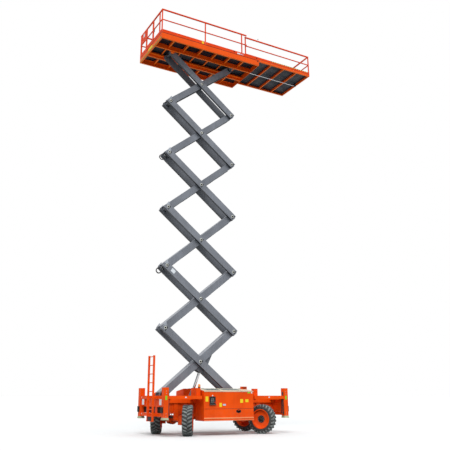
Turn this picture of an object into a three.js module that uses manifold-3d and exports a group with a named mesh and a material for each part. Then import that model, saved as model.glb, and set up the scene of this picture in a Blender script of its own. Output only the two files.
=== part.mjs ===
// Rough-terrain scissor lift with four-wheel steering, corner outriggers and a roll-out deck.
// Millimetres, +Z up. X runs from the ladder end (-X) to the roll-out end (+X), and -Y is the
// side with the ground controls. The model stands on Z = 0, centred below its own box.
import * as THREE from "three";
import { mergeVertices } from "three/addons/utils/BufferGeometryUtils.js";
import Module from "manifold-3d";

const wasm = await Module();
wasm.setup();

// ---------------------------------------------------------------- driving dimensions

// Fits
const TOUCH_GAP = 0.4; // between pieces that rest on each other
const PIN_CLEARANCE = 1.8; // a shaft in its bore, radially
const SLIDE_CLEARANCE = 5; // a leg or a moving panel beside its guide
const ROD_CLEARANCE = 0.8; // the piston rod in its gland
const ROUND = 12; // facets of pins and bores
const ROLLER_FACETS = 24;

// Wheels and axles
const WHEELBASE = 3400;
const TYRE_RADIUS = 505;
const TYRE_WIDTH = 355;
const TYRE_FACETS = 20;
const BEAD_RADIUS = 312; // bead seat of the rim
const RIM_FLANGE = 23; // height of the rim's edge above the bead seat
const RIM_WALL = 12;
const HALF_TRACK = 987; // wheel centre plane when it points straight ahead
const KINGPIN_OFFSET = 228; // from the kingpin axis to the wheel centre plane
const STEER_LEFT_END = 60; // degrees, as parked
const STEER_RIGHT_END = -55;
const KINGPIN_RADIUS = 38;
const KNUCKLE_RADIUS = 75;
const KNUCKLE_HEIGHT = 200;
const YOKE_LUG = 50; // thickness of the axle's lugs above and below the knuckle
const DRUM_RADIUS = 130;
const SPINDLE_RADIUS = 58;
const AXLE_RADIUS = 75;
const AXLE_STAND_WIDTH = 160;

// Chassis
const POST_X = 2440; // corner outrigger, centre
const POST_Y = 1032;
const POST_SIZE = 180;
const POST_WALL = 10;
const POST_BOTTOM = 600;
const POST_TOP = 1556;
const LEG_LENGTH = 930;
const FOOT_HEIGHT = 72;
const FOOT_SIZE = 208;
const RAIL_WIDTH = 80;
const RAIL_BOTTOM = 1050;
const RAIL_WALL = 10;
const BELLY_BOTTOM = 600; // deep side plates between the axles
const BELLY_PLATE = 16;
const BELLY_LEFT_X = -1390;
const BELLY_RIGHT_X = 1030;
const BEAM_TOP = 1294; // beams round the sides and ends
const BEAM_DEPTH = 110;
const BEAM_WIDTH = 100;
const BEAM_WALL = 12;
const LOW_BEAM_TOP = 728;
const END_PANEL_BOTTOM = 930;

// Side pods
const POD_HALF_LENGTH = 1008;
const POD_INNER_Y = 478;
const POD_OUTER_Y = 1120;
const POD_BOTTOM = 470;
const POD_SEAM = 867; // where the hood meets the tray
const POD_FRONT_TOP = 1450;
const POD_BACK_TOP = 1540;
const POD_WALL = 6;
const ENGINE_LENGTH = 900;
const ENGINE_WIDTH = 440;
const ENGINE_HEIGHT = 600;

// Ladder
const LADDER_Y = -245;
const LADDER_HALF_WIDTH = 215;
const LADDER_BOTTOM = 460;
const LADDER_TOP = 2630;
const LADDER_STILE = 70;
const RUNG_COUNT = 8;
const RUNG_PITCH = 290;
const RUNG_RADIUS = 14;
const LADDER_STANDOFF = 110;

// Scissor pack
const LEVELS = 6;
const ARM_PITCH = 3680; // between the end pins of an arm
const REST_ANGLE = THREE.MathUtils.degToRad(38.5);
const PIVOT_X = -2150; // fixed pins, at the ladder end
const PIVOT_Z = 1330;
const ARM_DEPTH = 260;
const ARM_WALL = 8;
const INNER_WIDTH = 330;
const OUTER_WIDTH = 100;
const ARM_SIDE_GAP = 15; // between the inner arm and the arm outside it
const SHAFT_RADIUS = 45;
const BOSS_RADIUS = 75;
const ROLLER_RADIUS = 80;
const ROLLER_SIDE_GAP = 20; // between the outer arm and the track

// Lift cylinder
const RAM_BASE = new THREE.Vector2(-1180, 680); // X, Z
const RAM_EYE = new THREE.Vector2(-600, 2160);
const BARREL_RADIUS = 90;
const BARREL_LENGTH = 840;
const BARREL_BOTTOM = 60; // solid end of the barrel
const ROD_RADIUS = 50;
const ROD_LENGTH = 851;
const RAM_EYE_RADIUS = 60;
const RAM_SHAFT_RADIUS = 40;
const GUSSET_PLATE = 20;

// Platform
const DECK_LEFT_X = -3034;
const DECK_RIGHT_X = 1670;
const DECK_HALF_WIDTH = 1160;
const FRAME_DROP = 30; // frame's lower edge below the top pins
const FRAME_DEPTH = 235;
const FRAME_WEB = 10;
const FLANGE_WIDTH = 60;
const FLANGE_PLATE = 8;
const TRACK_PLATE = 15;
const CROSS_MEMBERS = 6;
const DECK_PLATE = 15;
const TOE_BOARD = 150;
const TOE_PLATE = 25;
const RAIL_HEIGHT = 1130; // top of the guard rail above the deck
const MID_RAIL_HEIGHT = 635;
const TOP_TUBE = 50;
const POST_TUBE = 40;
const MID_TUBE = 35;
const SIDE_POSTS = [-3012, -1007, 806];
const GATE_LATCH_Y = -235;
const GATE_HINGE_Y = 524;
const END_POST_Y = -890;

// Roll-out deck
const ROLLOUT_LEFT_X = 1015;
const ROLLOUT_RIGHT_X = 4514;
const ROLLOUT_HALF_WIDTH = 1095;
const ROLLOUT_PAD = 12;
const ROLLOUT_DEPTH = 100;
const ROLLOUT_TOE = 95;
const ROLLOUT_RAIL_DROP = 55; // below the main rail's top
const ROLLOUT_CROSS_MEMBERS = 4;
const ROLLOUT_CROSS_WIDTH = 40;

// ---------------------------------------------------------------- what follows from them

const SPAN = ARM_PITCH * Math.cos(REST_ANGLE);
const RISE = ARM_PITCH * Math.sin(REST_ANGLE);
const WHEEL_Z = TYRE_RADIUS * Math.cos(Math.PI / TYRE_FACETS); // it stands on a facet
const KINGPIN_Y = HALF_TRACK - KINGPIN_OFFSET;
const INNER_Y = INNER_WIDTH / 2;
const OUTER_INNER_Y = INNER_Y + ARM_SIDE_GAP;
const OUTER_Y = OUTER_INNER_Y + OUTER_WIDTH;
const TRACK_Y = OUTER_Y + ROLLER_SIDE_GAP;
const RAIL_INNER_Y = TRACK_Y; // main rails, either side of the scissor pack
const SHAFT_END_Y = TRACK_Y + RAIL_WIDTH;
const TRACK_TOP = PIVOT_Z - ROLLER_RADIUS - TOUCH_GAP;
const BORE_RADIUS = SHAFT_RADIUS + PIN_CLEARANCE;
const POST_HALF = POST_SIZE / 2;
const BULKHEAD_X = POST_X - BEAM_WIDTH / 2;
// heights from here on count from the platform frame's lower edge
const PLATFORM_Z = PIVOT_Z + LEVELS * RISE - FRAME_DROP;
const FRAME_TOP = FRAME_DEPTH;
const DECK_TOP = FRAME_TOP + TOUCH_GAP + DECK_PLATE;
const RAIL_TOP = DECK_TOP + RAIL_HEIGHT;
const MID_RAIL_Z = DECK_TOP + MID_RAIL_HEIGHT;
const ROLLOUT_BOTTOM = DECK_TOP + ROLLOUT_PAD;
const ROLLOUT_TOP = ROLLOUT_BOTTOM + ROLLOUT_DEPTH;
const ROLLOUT_FLOOR = ROLLOUT_TOP + TOUCH_GAP + DECK_PLATE;
const ORIGIN_X = (DECK_LEFT_X + ROLLOUT_RIGHT_X) / 2;

// ---------------------------------------------------------------- shapes and booleans

// A closed geometry as a solid for joining and cutting.
function toSolid(geometry) {
  const shell = geometry.clone();
  shell.deleteAttribute("normal");
  shell.deleteAttribute("uv");
  const merged = mergeVertices(shell, 1e-4);
  return new wasm.Manifold(
    new wasm.Mesh({
      numProp: 3,
      vertProperties: Float32Array.from(merged.attributes.position.array),
      triVerts: Uint32Array.from(merged.index.array),
    }),
  );
}

// A block between two corners.
function block(x0, x1, y0, y1, z0, z1) {
  const box = new THREE.BoxGeometry(x1 - x0, y1 - y0, z1 - z0);
  box.translate((x0 + x1) / 2, (y0 + y1) / 2, (z0 + z1) / 2);
  return toSolid(box);
}

// A block mirrored to the side that y points to: depths are measured away from the middle.
function sideBlock(side, x0, x1, depth0, depth1, z0, z1) {
  const near = Math.min(side * depth0, side * depth1);
  const far = Math.max(side * depth0, side * depth1);
  return block(x0, x1, near, far, z0, z1);
}

// A round bar along Y.
function barY(radius, y0, y1, x = 0, z = 0, facets = ROUND) {
  const bar = new THREE.CylinderGeometry(radius, radius, y1 - y0, facets);
  bar.translate(x, (y0 + y1) / 2, z);
  return toSolid(bar);
}

// A round bar along X.
function barX(radius, x0, x1, y = 0, z = 0, facets = ROUND) {
  const bar = new THREE.CylinderGeometry(radius, radius, x1 - x0, facets);
  bar.rotateZ(Math.PI / 2);
  bar.translate((x0 + x1) / 2, y, z);
  return toSolid(bar);
}

// A round bar along Z.
function barZ(radius, z0, z1, x = 0, y = 0, facets = ROUND) {
  const bar = new THREE.CylinderGeometry(radius, radius, z1 - z0, facets);
  bar.rotateX(Math.PI / 2);
  bar.translate(x, y, (z0 + z1) / 2);
  return toSolid(bar);
}

// An outline in X and Z, drawn out along Y.
function prismY(shape, y0, y1, curveSegments = 4) {
  const prism = new THREE.ExtrudeGeometry(shape, {
    depth: y1 - y0,
    bevelEnabled: false,
    curveSegments,
  });
  prism.rotateX(Math.PI / 2);
  prism.translate(0, y1, 0);
  return toSolid(prism);
}

// An outline in Y and Z, drawn out along X.
function prismX(shape, x0, x1) {
  const prism = new THREE.ExtrudeGeometry(shape, {
    depth: x1 - x0,
    bevelEnabled: false,
  });
  const turned = new THREE.Matrix4().set(0, 0, 1, 0, 1, 0, 0, 0, 0, 1, 0, 0, 0, 0, 0, 1);
  prism.applyMatrix4(turned);
  prism.translate(x0, 0, 0);
  return toSolid(prism);
}

function outline(points) {
  return new THREE.Shape(points.map(([a, b]) => new THREE.Vector2(a, b)));
}

// A slot shape with round ends about two pins on the X axis.
function stadium(halfPitch, radius) {
  const shape = new THREE.Shape();
  shape.absarc(halfPitch, 0, radius, -Math.PI / 2, Math.PI / 2, false);
  shape.absarc(-halfPitch, 0, radius, Math.PI / 2, (3 * Math.PI) / 2, false);
  return shape;
}

function fuse(solids) {
  return solids.reduce((whole, piece) => whole.add(piece));
}

function cut(whole, tools) {
  return tools.reduce((left, tool) => left.subtract(tool), whole);
}

// A beam that is open below: a top plate and a wall on each side.
function openBeam(x0, x1, y0, y1, z0, z1, wall) {
  const outside = block(x0, x1, y0, y1, z0, z1);
  return outside.subtract(block(x0 + wall, x1 - wall, y0 + wall, y1 - wall, z0 - 1, z1 - wall));
}

// ---------------------------------------------------------------- materials and placing

function paint(color, roughness, metalness) {
  return new THREE.MeshStandardMaterial({ color, roughness, metalness });
}

const ORANGE = paint(0xf0560a, 0.45, 0.1);
const BLUE_GREY = paint(0x747985, 0.5, 0.2);
const BLACK = paint(0x16181b, 0.6, 0.1);
const RUBBER = paint(0x3a3b3a, 0.9, 0);
const STEEL = paint(0xb9bcc0, 0.3, 0.9);
const CREAM_PAD = paint(0xd5dcb4, 0.6, 0);
const AMBER = paint(0xff8a10, 0.25, 0);
const DECK_BLACK = paint(0x1b2028, 0.7, 0.2);

const lift = new THREE.Group();
lift.position.x = -ORIGIN_X;

// Hangs a solid in the scene as a named mesh.
function place(name, solid, material, parent = lift) {
  const { vertProperties, triVerts } = solid.getMesh();
  const geometry = new THREE.BufferGeometry();
  geometry.setAttribute("position", new THREE.BufferAttribute(vertProperties, 3));
  geometry.setIndex(new THREE.BufferAttribute(triVerts, 1));
  geometry.computeVertexNormals();
  const mesh = new THREE.Mesh(geometry, material);
  mesh.name = name;
  parent.add(mesh);
  return mesh;
}

// ---------------------------------------------------------------- chassis

// The pair of bored lugs or rails on both sides of the middle.
const SIDES = [-1, 1];
const ENDS = [-1, 1];

// Main rails: square tubes, open at the ends, with a track for the rollers on top.
function mainRails() {
  const length = BULKHEAD_X - TOUCH_GAP;
  return SIDES.map((side) => {
    const outside = sideBlock(
      side, -length, length, RAIL_INNER_Y, RAIL_INNER_Y + RAIL_WIDTH, RAIL_BOTTOM, TRACK_TOP,
    );
    const inside = sideBlock(
      side, -length - 1, length + 1, RAIL_INNER_Y + RAIL_WALL, RAIL_INNER_Y + RAIL_WIDTH - RAIL_WALL,
      RAIL_BOTTOM + RAIL_WALL, TRACK_TOP - RAIL_WALL,
    );
    return outside.subtract(inside);
  });
}

// Deep plates between the axles, with the cross pieces that tie them together.
function belly() {
  const plates = SIDES.map((side) =>
    sideBlock(
      side, BELLY_LEFT_X, BELLY_RIGHT_X, RAIL_INNER_Y, RAIL_INNER_Y + BELLY_PLATE,
      BELLY_BOTTOM, RAIL_BOTTOM + RAIL_WALL / 2,
    ),
  );
  const inner = RAIL_INNER_Y + BELLY_PLATE / 2;
  const ties = [BELLY_LEFT_X, BELLY_RIGHT_X - BEAM_WIDTH, -BEAM_WIDTH / 2].map((x) =>
    openBeam(x, x + BEAM_WIDTH, -inner, inner, BELLY_BOTTOM, BELLY_BOTTOM + BEAM_WIDTH * 0.7, BEAM_WALL),
  );
  const shaft = barY(RAM_SHAFT_RADIUS, -inner, inner, RAM_BASE.x, RAM_BASE.y);
  return [...plates, ...ties, shaft];
}

// Upright lugs with the fixed lower shaft of the scissor pack.
function lowerPivot() {
  const ear = ARM_DEPTH / 2 - RAIL_WIDTH / 2;
  const lugs = SIDES.flatMap((side) => {
    const inner = side * RAIL_INNER_Y;
    const outer = side * (RAIL_INNER_Y + RAIL_WIDTH);
    const low = Math.min(inner, outer);
    const high = Math.max(inner, outer);
    return [
      block(PIVOT_X - ear, PIVOT_X + ear, low, high, TRACK_TOP - RAIL_WALL / 2, PIVOT_Z),
      barY(ear, low, high, PIVOT_X, PIVOT_Z),
    ];
  });
  return [...lugs, barY(SHAFT_RADIUS, -RAIL_INNER_Y - 1, RAIL_INNER_Y + 1, PIVOT_X, PIVOT_Z)];
}

// Beams from the rails out to the sides, and the side beams beyond the pods.
function sideFrame() {
  const railOuter = RAIL_INNER_Y + RAIL_WIDTH - RAIL_WALL / 2;
  const beamOuter = POST_Y + POST_HALF - BEAM_WALL;
  const beamInner = beamOuter - BEAM_WIDTH;
  const crossInner = POD_HALF_LENGTH + 65;
  const crossOuter = POST_X - POST_HALF - 110;
  const low = BEAM_TOP - BEAM_DEPTH;
  return ENDS.flatMap((end) =>
    SIDES.flatMap((side) => {
      const y0 = Math.min(side * railOuter, side * (beamInner + BEAM_WALL));
      const y1 = Math.max(side * railOuter, side * (beamInner + BEAM_WALL));
      const crosses = [crossInner, crossOuter].map((x) => {
        const x0 = Math.min(end * x, end * (x + BEAM_WIDTH));
        return openBeam(x0, x0 + BEAM_WIDTH, y0, y1, low - 40, BEAM_TOP - 60, BEAM_WALL);
      });
      const ends = [end * crossInner, end * (POST_X - POST_HALF - TOUCH_GAP)];
      const b0 = Math.min(side * beamInner, side * beamOuter);
      const beam = openBeam(
        Math.min(...ends), Math.max(...ends), b0, b0 + BEAM_WIDTH, low, BEAM_TOP, BEAM_WALL,
      );
      return [...crosses, beam];
    }),
  );
}

// Brackets that carry the pods on the belly plates, and the raised box beside the near pod.
function podBrackets() {
  const inner = RAIL_INNER_Y + BELLY_PLATE / 2;
  const hangers = SIDES.flatMap((side) =>
    [-POD_HALF_LENGTH + 60, POD_HALF_LENGTH - 160].flatMap((x) => [
      sideBlock(side, x, x + 100, inner, POD_INNER_Y - TOUCH_GAP, BELLY_BOTTOM + 10, BELLY_BOTTOM + 90),
      sideBlock(side, x, x + 100, inner, POD_INNER_Y - TOUCH_GAP, RAIL_BOTTOM - 110, RAIL_BOTTOM - 30),
    ]),
  );
  return hangers;
}

const HOUSING_LEFT_X = -POD_HALF_LENGTH - 65 - BEAM_WIDTH - 60;
const HOUSING_TOP = 1550;

function raisedHousing() {
  return openBeam(
    HOUSING_LEFT_X, -POD_HALF_LENGTH - 65, -POST_Y + 50, -560, BEAM_TOP - BEAM_DEPTH, HOUSING_TOP, BEAM_WALL,
  );
}

place(
  "chassis_frame",
  fuse([...mainRails(), ...belly(), ...lowerPivot(), ...sideFrame(), ...podBrackets(), raisedHousing()]),
  ORANGE,
);

place(
  "beacon",
  fuse([
    barZ(38, HOUSING_TOP + TOUCH_GAP, HOUSING_TOP + 30, HOUSING_LEFT_X + 150, -900, 16),
    barZ(48, HOUSING_TOP + 25, HOUSING_TOP + 130, HOUSING_LEFT_X + 150, -900, 16),
  ]),
  AMBER,
);

// End bulkheads: two corner tubes for the outriggers, two beams and a panel between them.
function bulkhead(end) {
  const spanX = (x0, x1) => [Math.min(end * x0, end * x1), Math.max(end * x0, end * x1)];
  const [beam0, beam1] = spanX(BULKHEAD_X, BULKHEAD_X + BEAM_WIDTH);
  const [panel0, panel1] = spanX(POST_X - 10, POST_X + 10);
  const reach = POST_Y - POST_HALF + POST_WALL / 2;
  const pieces = [
    openBeam(beam0, beam1, -reach, reach, BEAM_TOP - BEAM_DEPTH, BEAM_TOP, BEAM_WALL),
    openBeam(beam0, beam1, -reach, reach, LOW_BEAM_TOP - BEAM_DEPTH, LOW_BEAM_TOP, BEAM_WALL),
    block(panel0, panel1, -reach, reach, END_PANEL_BOTTOM, BEAM_TOP - BEAM_WALL / 2),
  ];
  for (const side of SIDES) {
    pieces.push(
      sideBlock(side, panel0, panel1, RAIL_INNER_Y, RAIL_INNER_Y + RAIL_WIDTH, LOW_BEAM_TOP - 5, END_PANEL_BOTTOM + 5),
    );
    pieces.push(postTube(end, side));
  }
  return cut(fuse(pieces), SIDES.map((side) => postBore(end, side)));
}

function postTube(end, side) {
  const x = end * POST_X;
  const y = side * POST_Y;
  return block(x - POST_HALF, x + POST_HALF, y - POST_HALF, y + POST_HALF, POST_BOTTOM, POST_TOP);
}

function postBore(end, side) {
  const half = POST_HALF - POST_WALL;
  const x = end * POST_X;
  const y = side * POST_Y;
  return block(x - half, x + half, y - half, y + half, POST_BOTTOM - 1, POST_TOP - POST_WALL);
}

// Outrigger leg: a square tube in the post with a flared foot.
function leg() {
  const half = POST_HALF - POST_WALL - SLIDE_CLEARANCE;
  const top = POST_BOTTOM + LEG_LENGTH;
  const seat = POST_BOTTOM - TOUCH_GAP;
  const foot = new THREE.CylinderGeometry(
    POST_HALF * Math.SQRT2, (FOOT_SIZE / 2) * Math.SQRT2, FOOT_HEIGHT, 4,
  );
  foot.rotateY(Math.PI / 4);
  foot.rotateX(Math.PI / 2);
  foot.translate(0, 0, seat - FOOT_HEIGHT / 2);
  const tube = block(-half, half, -half, half, seat - 5, top);
  const hollow = block(-half + 10, half - 10, -half + 10, half - 10, seat + 10, top + 1);
  return fuse([tube, toSolid(foot)]).subtract(hollow);
}

const END_NAMES = new Map([[-1, "left"], [1, "right"]]);
const SIDE_NAMES = new Map([[-1, "near"], [1, "far"]]);

for (const end of ENDS) {
  place(`bulkhead_${END_NAMES.get(end)}`, bulkhead(end), ORANGE);
  for (const side of SIDES) {
    const name = `outrigger_leg_${END_NAMES.get(end)}_${SIDE_NAMES.get(side)}`;
    const placed = place(name, leg(), CREAM_PAD);
    placed.position.set(end * POST_X, side * POST_Y, 0);
  }
}

// ---------------------------------------------------------------- pods

// The tray: floor, inner wall, ends and the lower front.
function podTray(side) {
  const outside = sideBlock(
    side, -POD_HALF_LENGTH, POD_HALF_LENGTH, POD_INNER_Y, POD_OUTER_Y, POD_BOTTOM, POD_SEAM,
  );
  const inside = sideBlock(
    side, -POD_HALF_LENGTH + POD_WALL, POD_HALF_LENGTH - POD_WALL, POD_INNER_Y + POD_WALL,
    POD_OUTER_Y - POD_WALL, POD_BOTTOM + POD_WALL, POD_SEAM + 1,
  );
  const wall = sideBlock(
    side, -POD_HALF_LENGTH, POD_HALF_LENGTH, POD_INNER_Y, POD_INNER_Y + POD_WALL,
    POD_SEAM - 1, POD_BACK_TOP - POD_WALL - SLIDE_CLEARANCE,
  );
  return fuse([outside.subtract(inside), wall]);
}

// The hood: upper front, sloping top and both ends, hinged along the inner edge of its top.
function podHood(side) {
  const profile = (inset, drop) =>
    outline([
      [side * (POD_INNER_Y + POD_WALL + SLIDE_CLEARANCE + inset), POD_SEAM + TOUCH_GAP - drop],
      [side * (POD_OUTER_Y - inset), POD_SEAM + TOUCH_GAP - drop],
      [side * (POD_OUTER_Y - inset), POD_FRONT_TOP - inset],
      [side * (POD_INNER_Y + POD_WALL + SLIDE_CLEARANCE + inset), POD_BACK_TOP - inset],
    ]);
  const outside = prismX(profile(0, 0), -POD_HALF_LENGTH, POD_HALF_LENGTH);
  const inside = prismX(profile(POD_WALL, 1), -POD_HALF_LENGTH + POD_WALL, POD_HALF_LENGTH - POD_WALL);
  // the back is open, apart from a hinge strip that lies over the tray's inner wall
  const back = sideBlock(
    side, -POD_HALF_LENGTH + POD_WALL, POD_HALF_LENGTH - POD_WALL, POD_INNER_Y - 1,
    POD_INNER_Y + 4 * POD_WALL, POD_SEAM - 1, POD_BACK_TOP - 5 * POD_WALL,
  );
  const strip = sideBlock(
    side, -POD_HALF_LENGTH + 100, POD_HALF_LENGTH - 100, POD_INNER_Y, POD_INNER_Y + 4 * POD_WALL,
    POD_BACK_TOP - POD_WALL - SLIDE_CLEARANCE + TOUCH_GAP, POD_BACK_TOP - 2,
  );
  return fuse([cut(outside, [inside, back]), strip]);
}

for (const side of SIDES) {
  place(`pod_tray_${SIDE_NAMES.get(side)}`, podTray(side), ORANGE);
  const hood = podHood(side);
  const outlet = block(800, 1000, -700, -560, POD_BACK_TOP - 40, POD_BACK_TOP + 70);
  place(`pod_hood_${SIDE_NAMES.get(side)}`, side < 0 ? fuse([hood, outlet]) : hood, ORANGE);
}

const ENGINE_Y = -(POD_INNER_Y + POD_OUTER_Y) / 2;
place(
  "engine_block",
  block(
    -200, -200 + ENGINE_LENGTH, ENGINE_Y - ENGINE_WIDTH / 2, ENGINE_Y + ENGINE_WIDTH / 2,
    POD_BOTTOM + POD_WALL + TOUCH_GAP, POD_BOTTOM + POD_WALL + ENGINE_HEIGHT,
  ),
  BLACK,
);

// Ground control panel: a shallow box with a ledge below it.
const PANEL_X = -674;
place(
  "control_panel",
  fuse([
    block(PANEL_X - 115, PANEL_X + 115, -POD_OUTER_Y - 22, -POD_OUTER_Y - TOUCH_GAP, 1010, 1265),
    block(PANEL_X - 125, PANEL_X + 125, -POD_OUTER_Y - 45, -POD_OUTER_Y - TOUCH_GAP, 985, 1012),
  ]),
  BLACK,
);

// ---------------------------------------------------------------- ladder

function ladder() {
  const x1 = -BULKHEAD_X - BEAM_WIDTH - LADDER_STANDOFF;
  const x0 = x1 - LADDER_STILE;
  const half = LADDER_STILE / 4;
  const stiles = SIDES.map((side) => {
    const y = LADDER_Y + side * LADDER_HALF_WIDTH;
    return block(x0, x1, y - half, y + half, LADDER_BOTTOM, LADDER_TOP);
  });
  const rungs = Array.from({ length: RUNG_COUNT }, (_, i) =>
    barY(
      RUNG_RADIUS, LADDER_Y - LADDER_HALF_WIDTH, LADDER_Y + LADDER_HALF_WIDTH,
      (x0 + x1) / 2, LADDER_BOTTOM + 100 + i * RUNG_PITCH, 8,
    ),
  );
  const brackets = [BEAM_TOP - BEAM_DEPTH / 2, LOW_BEAM_TOP - BEAM_DEPTH / 2].flatMap((z) =>
    SIDES.map((side) => {
      const y = LADDER_Y + side * LADDER_HALF_WIDTH;
      return block(x1 - 5, -BULKHEAD_X - BEAM_WIDTH - TOUCH_GAP, y - half, y + half, z - 30, z + 30);
    }),
  );
  return fuse([...stiles, ...rungs, ...brackets]);
}

place("ladder", ladder(), ORANGE);

// ---------------------------------------------------------------- axles and wheels

function axle() {
  const lugHalf = KINGPIN_RADIUS + 17;
  const lugInner = KNUCKLE_HEIGHT / 2;
  const lugOuter = lugInner + YOKE_LUG;
  const endPlate = KINGPIN_Y - KNUCKLE_RADIUS - 15;
  const pieces = [barY(AXLE_RADIUS, -endPlate, endPlate, 0, WHEEL_Z), barY(2 * AXLE_RADIUS, -120, 120, 0, WHEEL_Z)];
  const bores = [];
  for (const side of SIDES) {
    pieces.push(
      sideBlock(side, -lugHalf, lugHalf, endPlate - 50, endPlate, WHEEL_Z - lugOuter, WHEEL_Z + lugOuter),
    );
    for (const up of [-1, 1]) {
      const z0 = WHEEL_Z + Math.min(up * lugInner, up * lugOuter);
      pieces.push(sideBlock(side, -lugHalf, lugHalf, endPlate - 50, KINGPIN_Y, z0, z0 + YOKE_LUG));
      pieces.push(barZ(lugHalf, z0, z0 + YOKE_LUG, 0, side * KINGPIN_Y));
    }
    pieces.push(
      sideBlock(
        side, -AXLE_STAND_WIDTH / 2, AXLE_STAND_WIDTH / 2, RAIL_INNER_Y, RAIL_INNER_Y + 40,
        WHEEL_Z, RAIL_BOTTOM - TOUCH_GAP,
      ),
    );
    bores.push(
      barZ(
        KINGPIN_RADIUS + PIN_CLEARANCE, WHEEL_Z - lugOuter - 1, WHEEL_Z + lugOuter + 1, 0, side * KINGPIN_Y,
      ),
    );
  }
  return cut(fuse(pieces), bores);
}

// The steering knuckle about its kingpin, with -Y pointing out to the wheel.
function knuckle() {
  const half = KNUCKLE_HEIGHT / 2 - TOUCH_GAP;
  return fuse([
    barZ(KINGPIN_RADIUS, -KNUCKLE_HEIGHT / 2 - YOKE_LUG, KNUCKLE_HEIGHT / 2 + YOKE_LUG),
    barZ(KNUCKLE_RADIUS, -half, half),
    barY(KNUCKLE_RADIUS - 5, -120, 0),
    barY(DRUM_RADIUS, -KINGPIN_OFFSET, -110),
    barY(SPINDLE_RADIUS, -SPINDLE_END, -KINGPIN_OFFSET + 1),
  ]);
}

// A profile of (radius, distance outboard of the kingpin) turned about the wheel's own axis.
function turned(points) {
  const profile = points.map(([radius, out]) => new THREE.Vector2(radius, out));
  const body = new THREE.LatheGeometry(profile, TYRE_FACETS, Math.PI / TYRE_FACETS);
  body.rotateX(Math.PI);
  return toSolid(body);
}

const DISC_OUT = KINGPIN_OFFSET + 72; // inner face of the wheel disc
const DISC_PLATE = 18;
const HUB_RADIUS = 120;
const HUB_OUT = DISC_OUT + 68;
const SPINDLE_END = DISC_OUT + 5;
const RIM_HALF = TYRE_WIDTH / 2 - 8;

function rim() {
  const inboard = KINGPIN_OFFSET - RIM_HALF;
  const outboard = KINGPIN_OFFSET + RIM_HALF;
  const barrel = BEAD_RADIUS - RIM_WALL;
  const edge = BEAD_RADIUS + RIM_FLANGE;
  const bore = SPINDLE_RADIUS + PIN_CLEARANCE;
  return turned([
    [0, SPINDLE_END + SLIDE_CLEARANCE],
    [bore, SPINDLE_END + SLIDE_CLEARANCE],
    [bore, DISC_OUT - 20],
    [HUB_RADIUS, DISC_OUT],
    [barrel, DISC_OUT],
    [barrel, inboard - 8],
    [edge, inboard - 8],
    [BEAD_RADIUS, inboard],
    [BEAD_RADIUS, outboard],
    [edge, outboard + 8],
    [barrel, outboard + 8],
    [barrel, DISC_OUT + DISC_PLATE],
    [HUB_RADIUS, DISC_OUT + DISC_PLATE],
    [HUB_RADIUS - 10, HUB_OUT],
    [0, HUB_OUT],
  ]);
}

function tyre() {
  const half = TYRE_WIDTH / 2;
  const bead = BEAD_RADIUS + TOUCH_GAP;
  const overEdge = BEAD_RADIUS + RIM_FLANGE + TOUCH_GAP * 4;
  const right = [
    [bead, RIM_HALF - TOUCH_GAP],
    [overEdge, half - 5],
    [TYRE_RADIUS - 100, half],
    [TYRE_RADIUS - 45, half - 4],
    [TYRE_RADIUS, half - 32],
  ];
  const left = right.map(([radius, out]) => [radius, -out]).reverse();
  const loop = [...left.reverse(), ...right.reverse()];
  const profile = [...loop, loop[0]].map(([radius, out]) => [radius, out + KINGPIN_OFFSET]);
  return turned(profile);
}

for (const end of ENDS) {
  const angle = end < 0 ? STEER_LEFT_END : STEER_RIGHT_END;
  const axleMesh = place(`axle_${END_NAMES.get(end)}`, axle(), ORANGE);
  axleMesh.position.x = (end * WHEELBASE) / 2;
  for (const side of SIDES) {
    const corner = `${END_NAMES.get(end)}_${SIDE_NAMES.get(side)}`;
    const steered = new THREE.Group();
    steered.position.set((end * WHEELBASE) / 2, side * KINGPIN_Y, WHEEL_Z);
    steered.rotation.z = THREE.MathUtils.degToRad(angle) + (side > 0 ? Math.PI : 0);
    lift.add(steered);
    place(`knuckle_${corner}`, knuckle(), ORANGE, steered);
    place(`rim_${corner}`, rim(), ORANGE, steered);
    place(`tyre_${corner}`, tyre(), RUBBER, steered);
  }
}

// ---------------------------------------------------------------- scissor pack

// One arm tube about its middle, open at both ends, between two depths in Y.
function armTube(y0, y1) {
  const half = ARM_PITCH / 2;
  const inside = ARM_DEPTH / 2 - ARM_WALL;
  const body = prismY(stadium(half, ARM_DEPTH / 2), y0, y1);
  return body.subtract(
    block(-half - ARM_DEPTH, half + ARM_DEPTH, y0 + ARM_WALL, y1 - ARM_WALL, -inside, inside),
  );
}

// A roller shaft at one end: a through shaft with a roller fixed to each end.
function rollerShaft(x) {
  const rollers = SIDES.map((side) => {
    const y0 = Math.min(side * (TRACK_Y + 4), side * SHAFT_END_Y);
    return barY(ROLLER_RADIUS, y0, y0 + SHAFT_END_Y - TRACK_Y - 4, x, 0, ROLLER_FACETS);
  });
  return [barY(SHAFT_RADIUS, -SHAFT_END_Y, SHAFT_END_Y, x, 0), ...rollers];
}

function innerArm(level) {
  const half = ARM_PITCH / 2;
  const isTop = level === LEVELS;
  const bored = isTop ? [-half, 0] : [-half, 0, half];
  const pieces = [
    armTube(-INNER_Y, INNER_Y),
    ...bored.map((x) => barY(BOSS_RADIUS, -INNER_Y, INNER_Y, x, 0)),
  ];
  if (isTop) pieces.push(...rollerShaft(half));
  if (level === 1) pieces.push(...gusset());
  return cut(
    fuse(pieces),
    bored.map((x) => barY(BORE_RADIUS, -INNER_Y - 1, INNER_Y + 1, x, 0)),
  );
}

// Where the lift cylinder's eye lies in the lowest inner arm's own frame.
function eyeInArm() {
  const fromPivot = RAM_EYE.clone().sub(new THREE.Vector2(PIVOT_X, PIVOT_Z));
  fromPivot.rotateAround(new THREE.Vector2(0, 0), -REST_ANGLE);
  return fromPivot.sub(new THREE.Vector2(ARM_PITCH / 2, 0));
}

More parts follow.
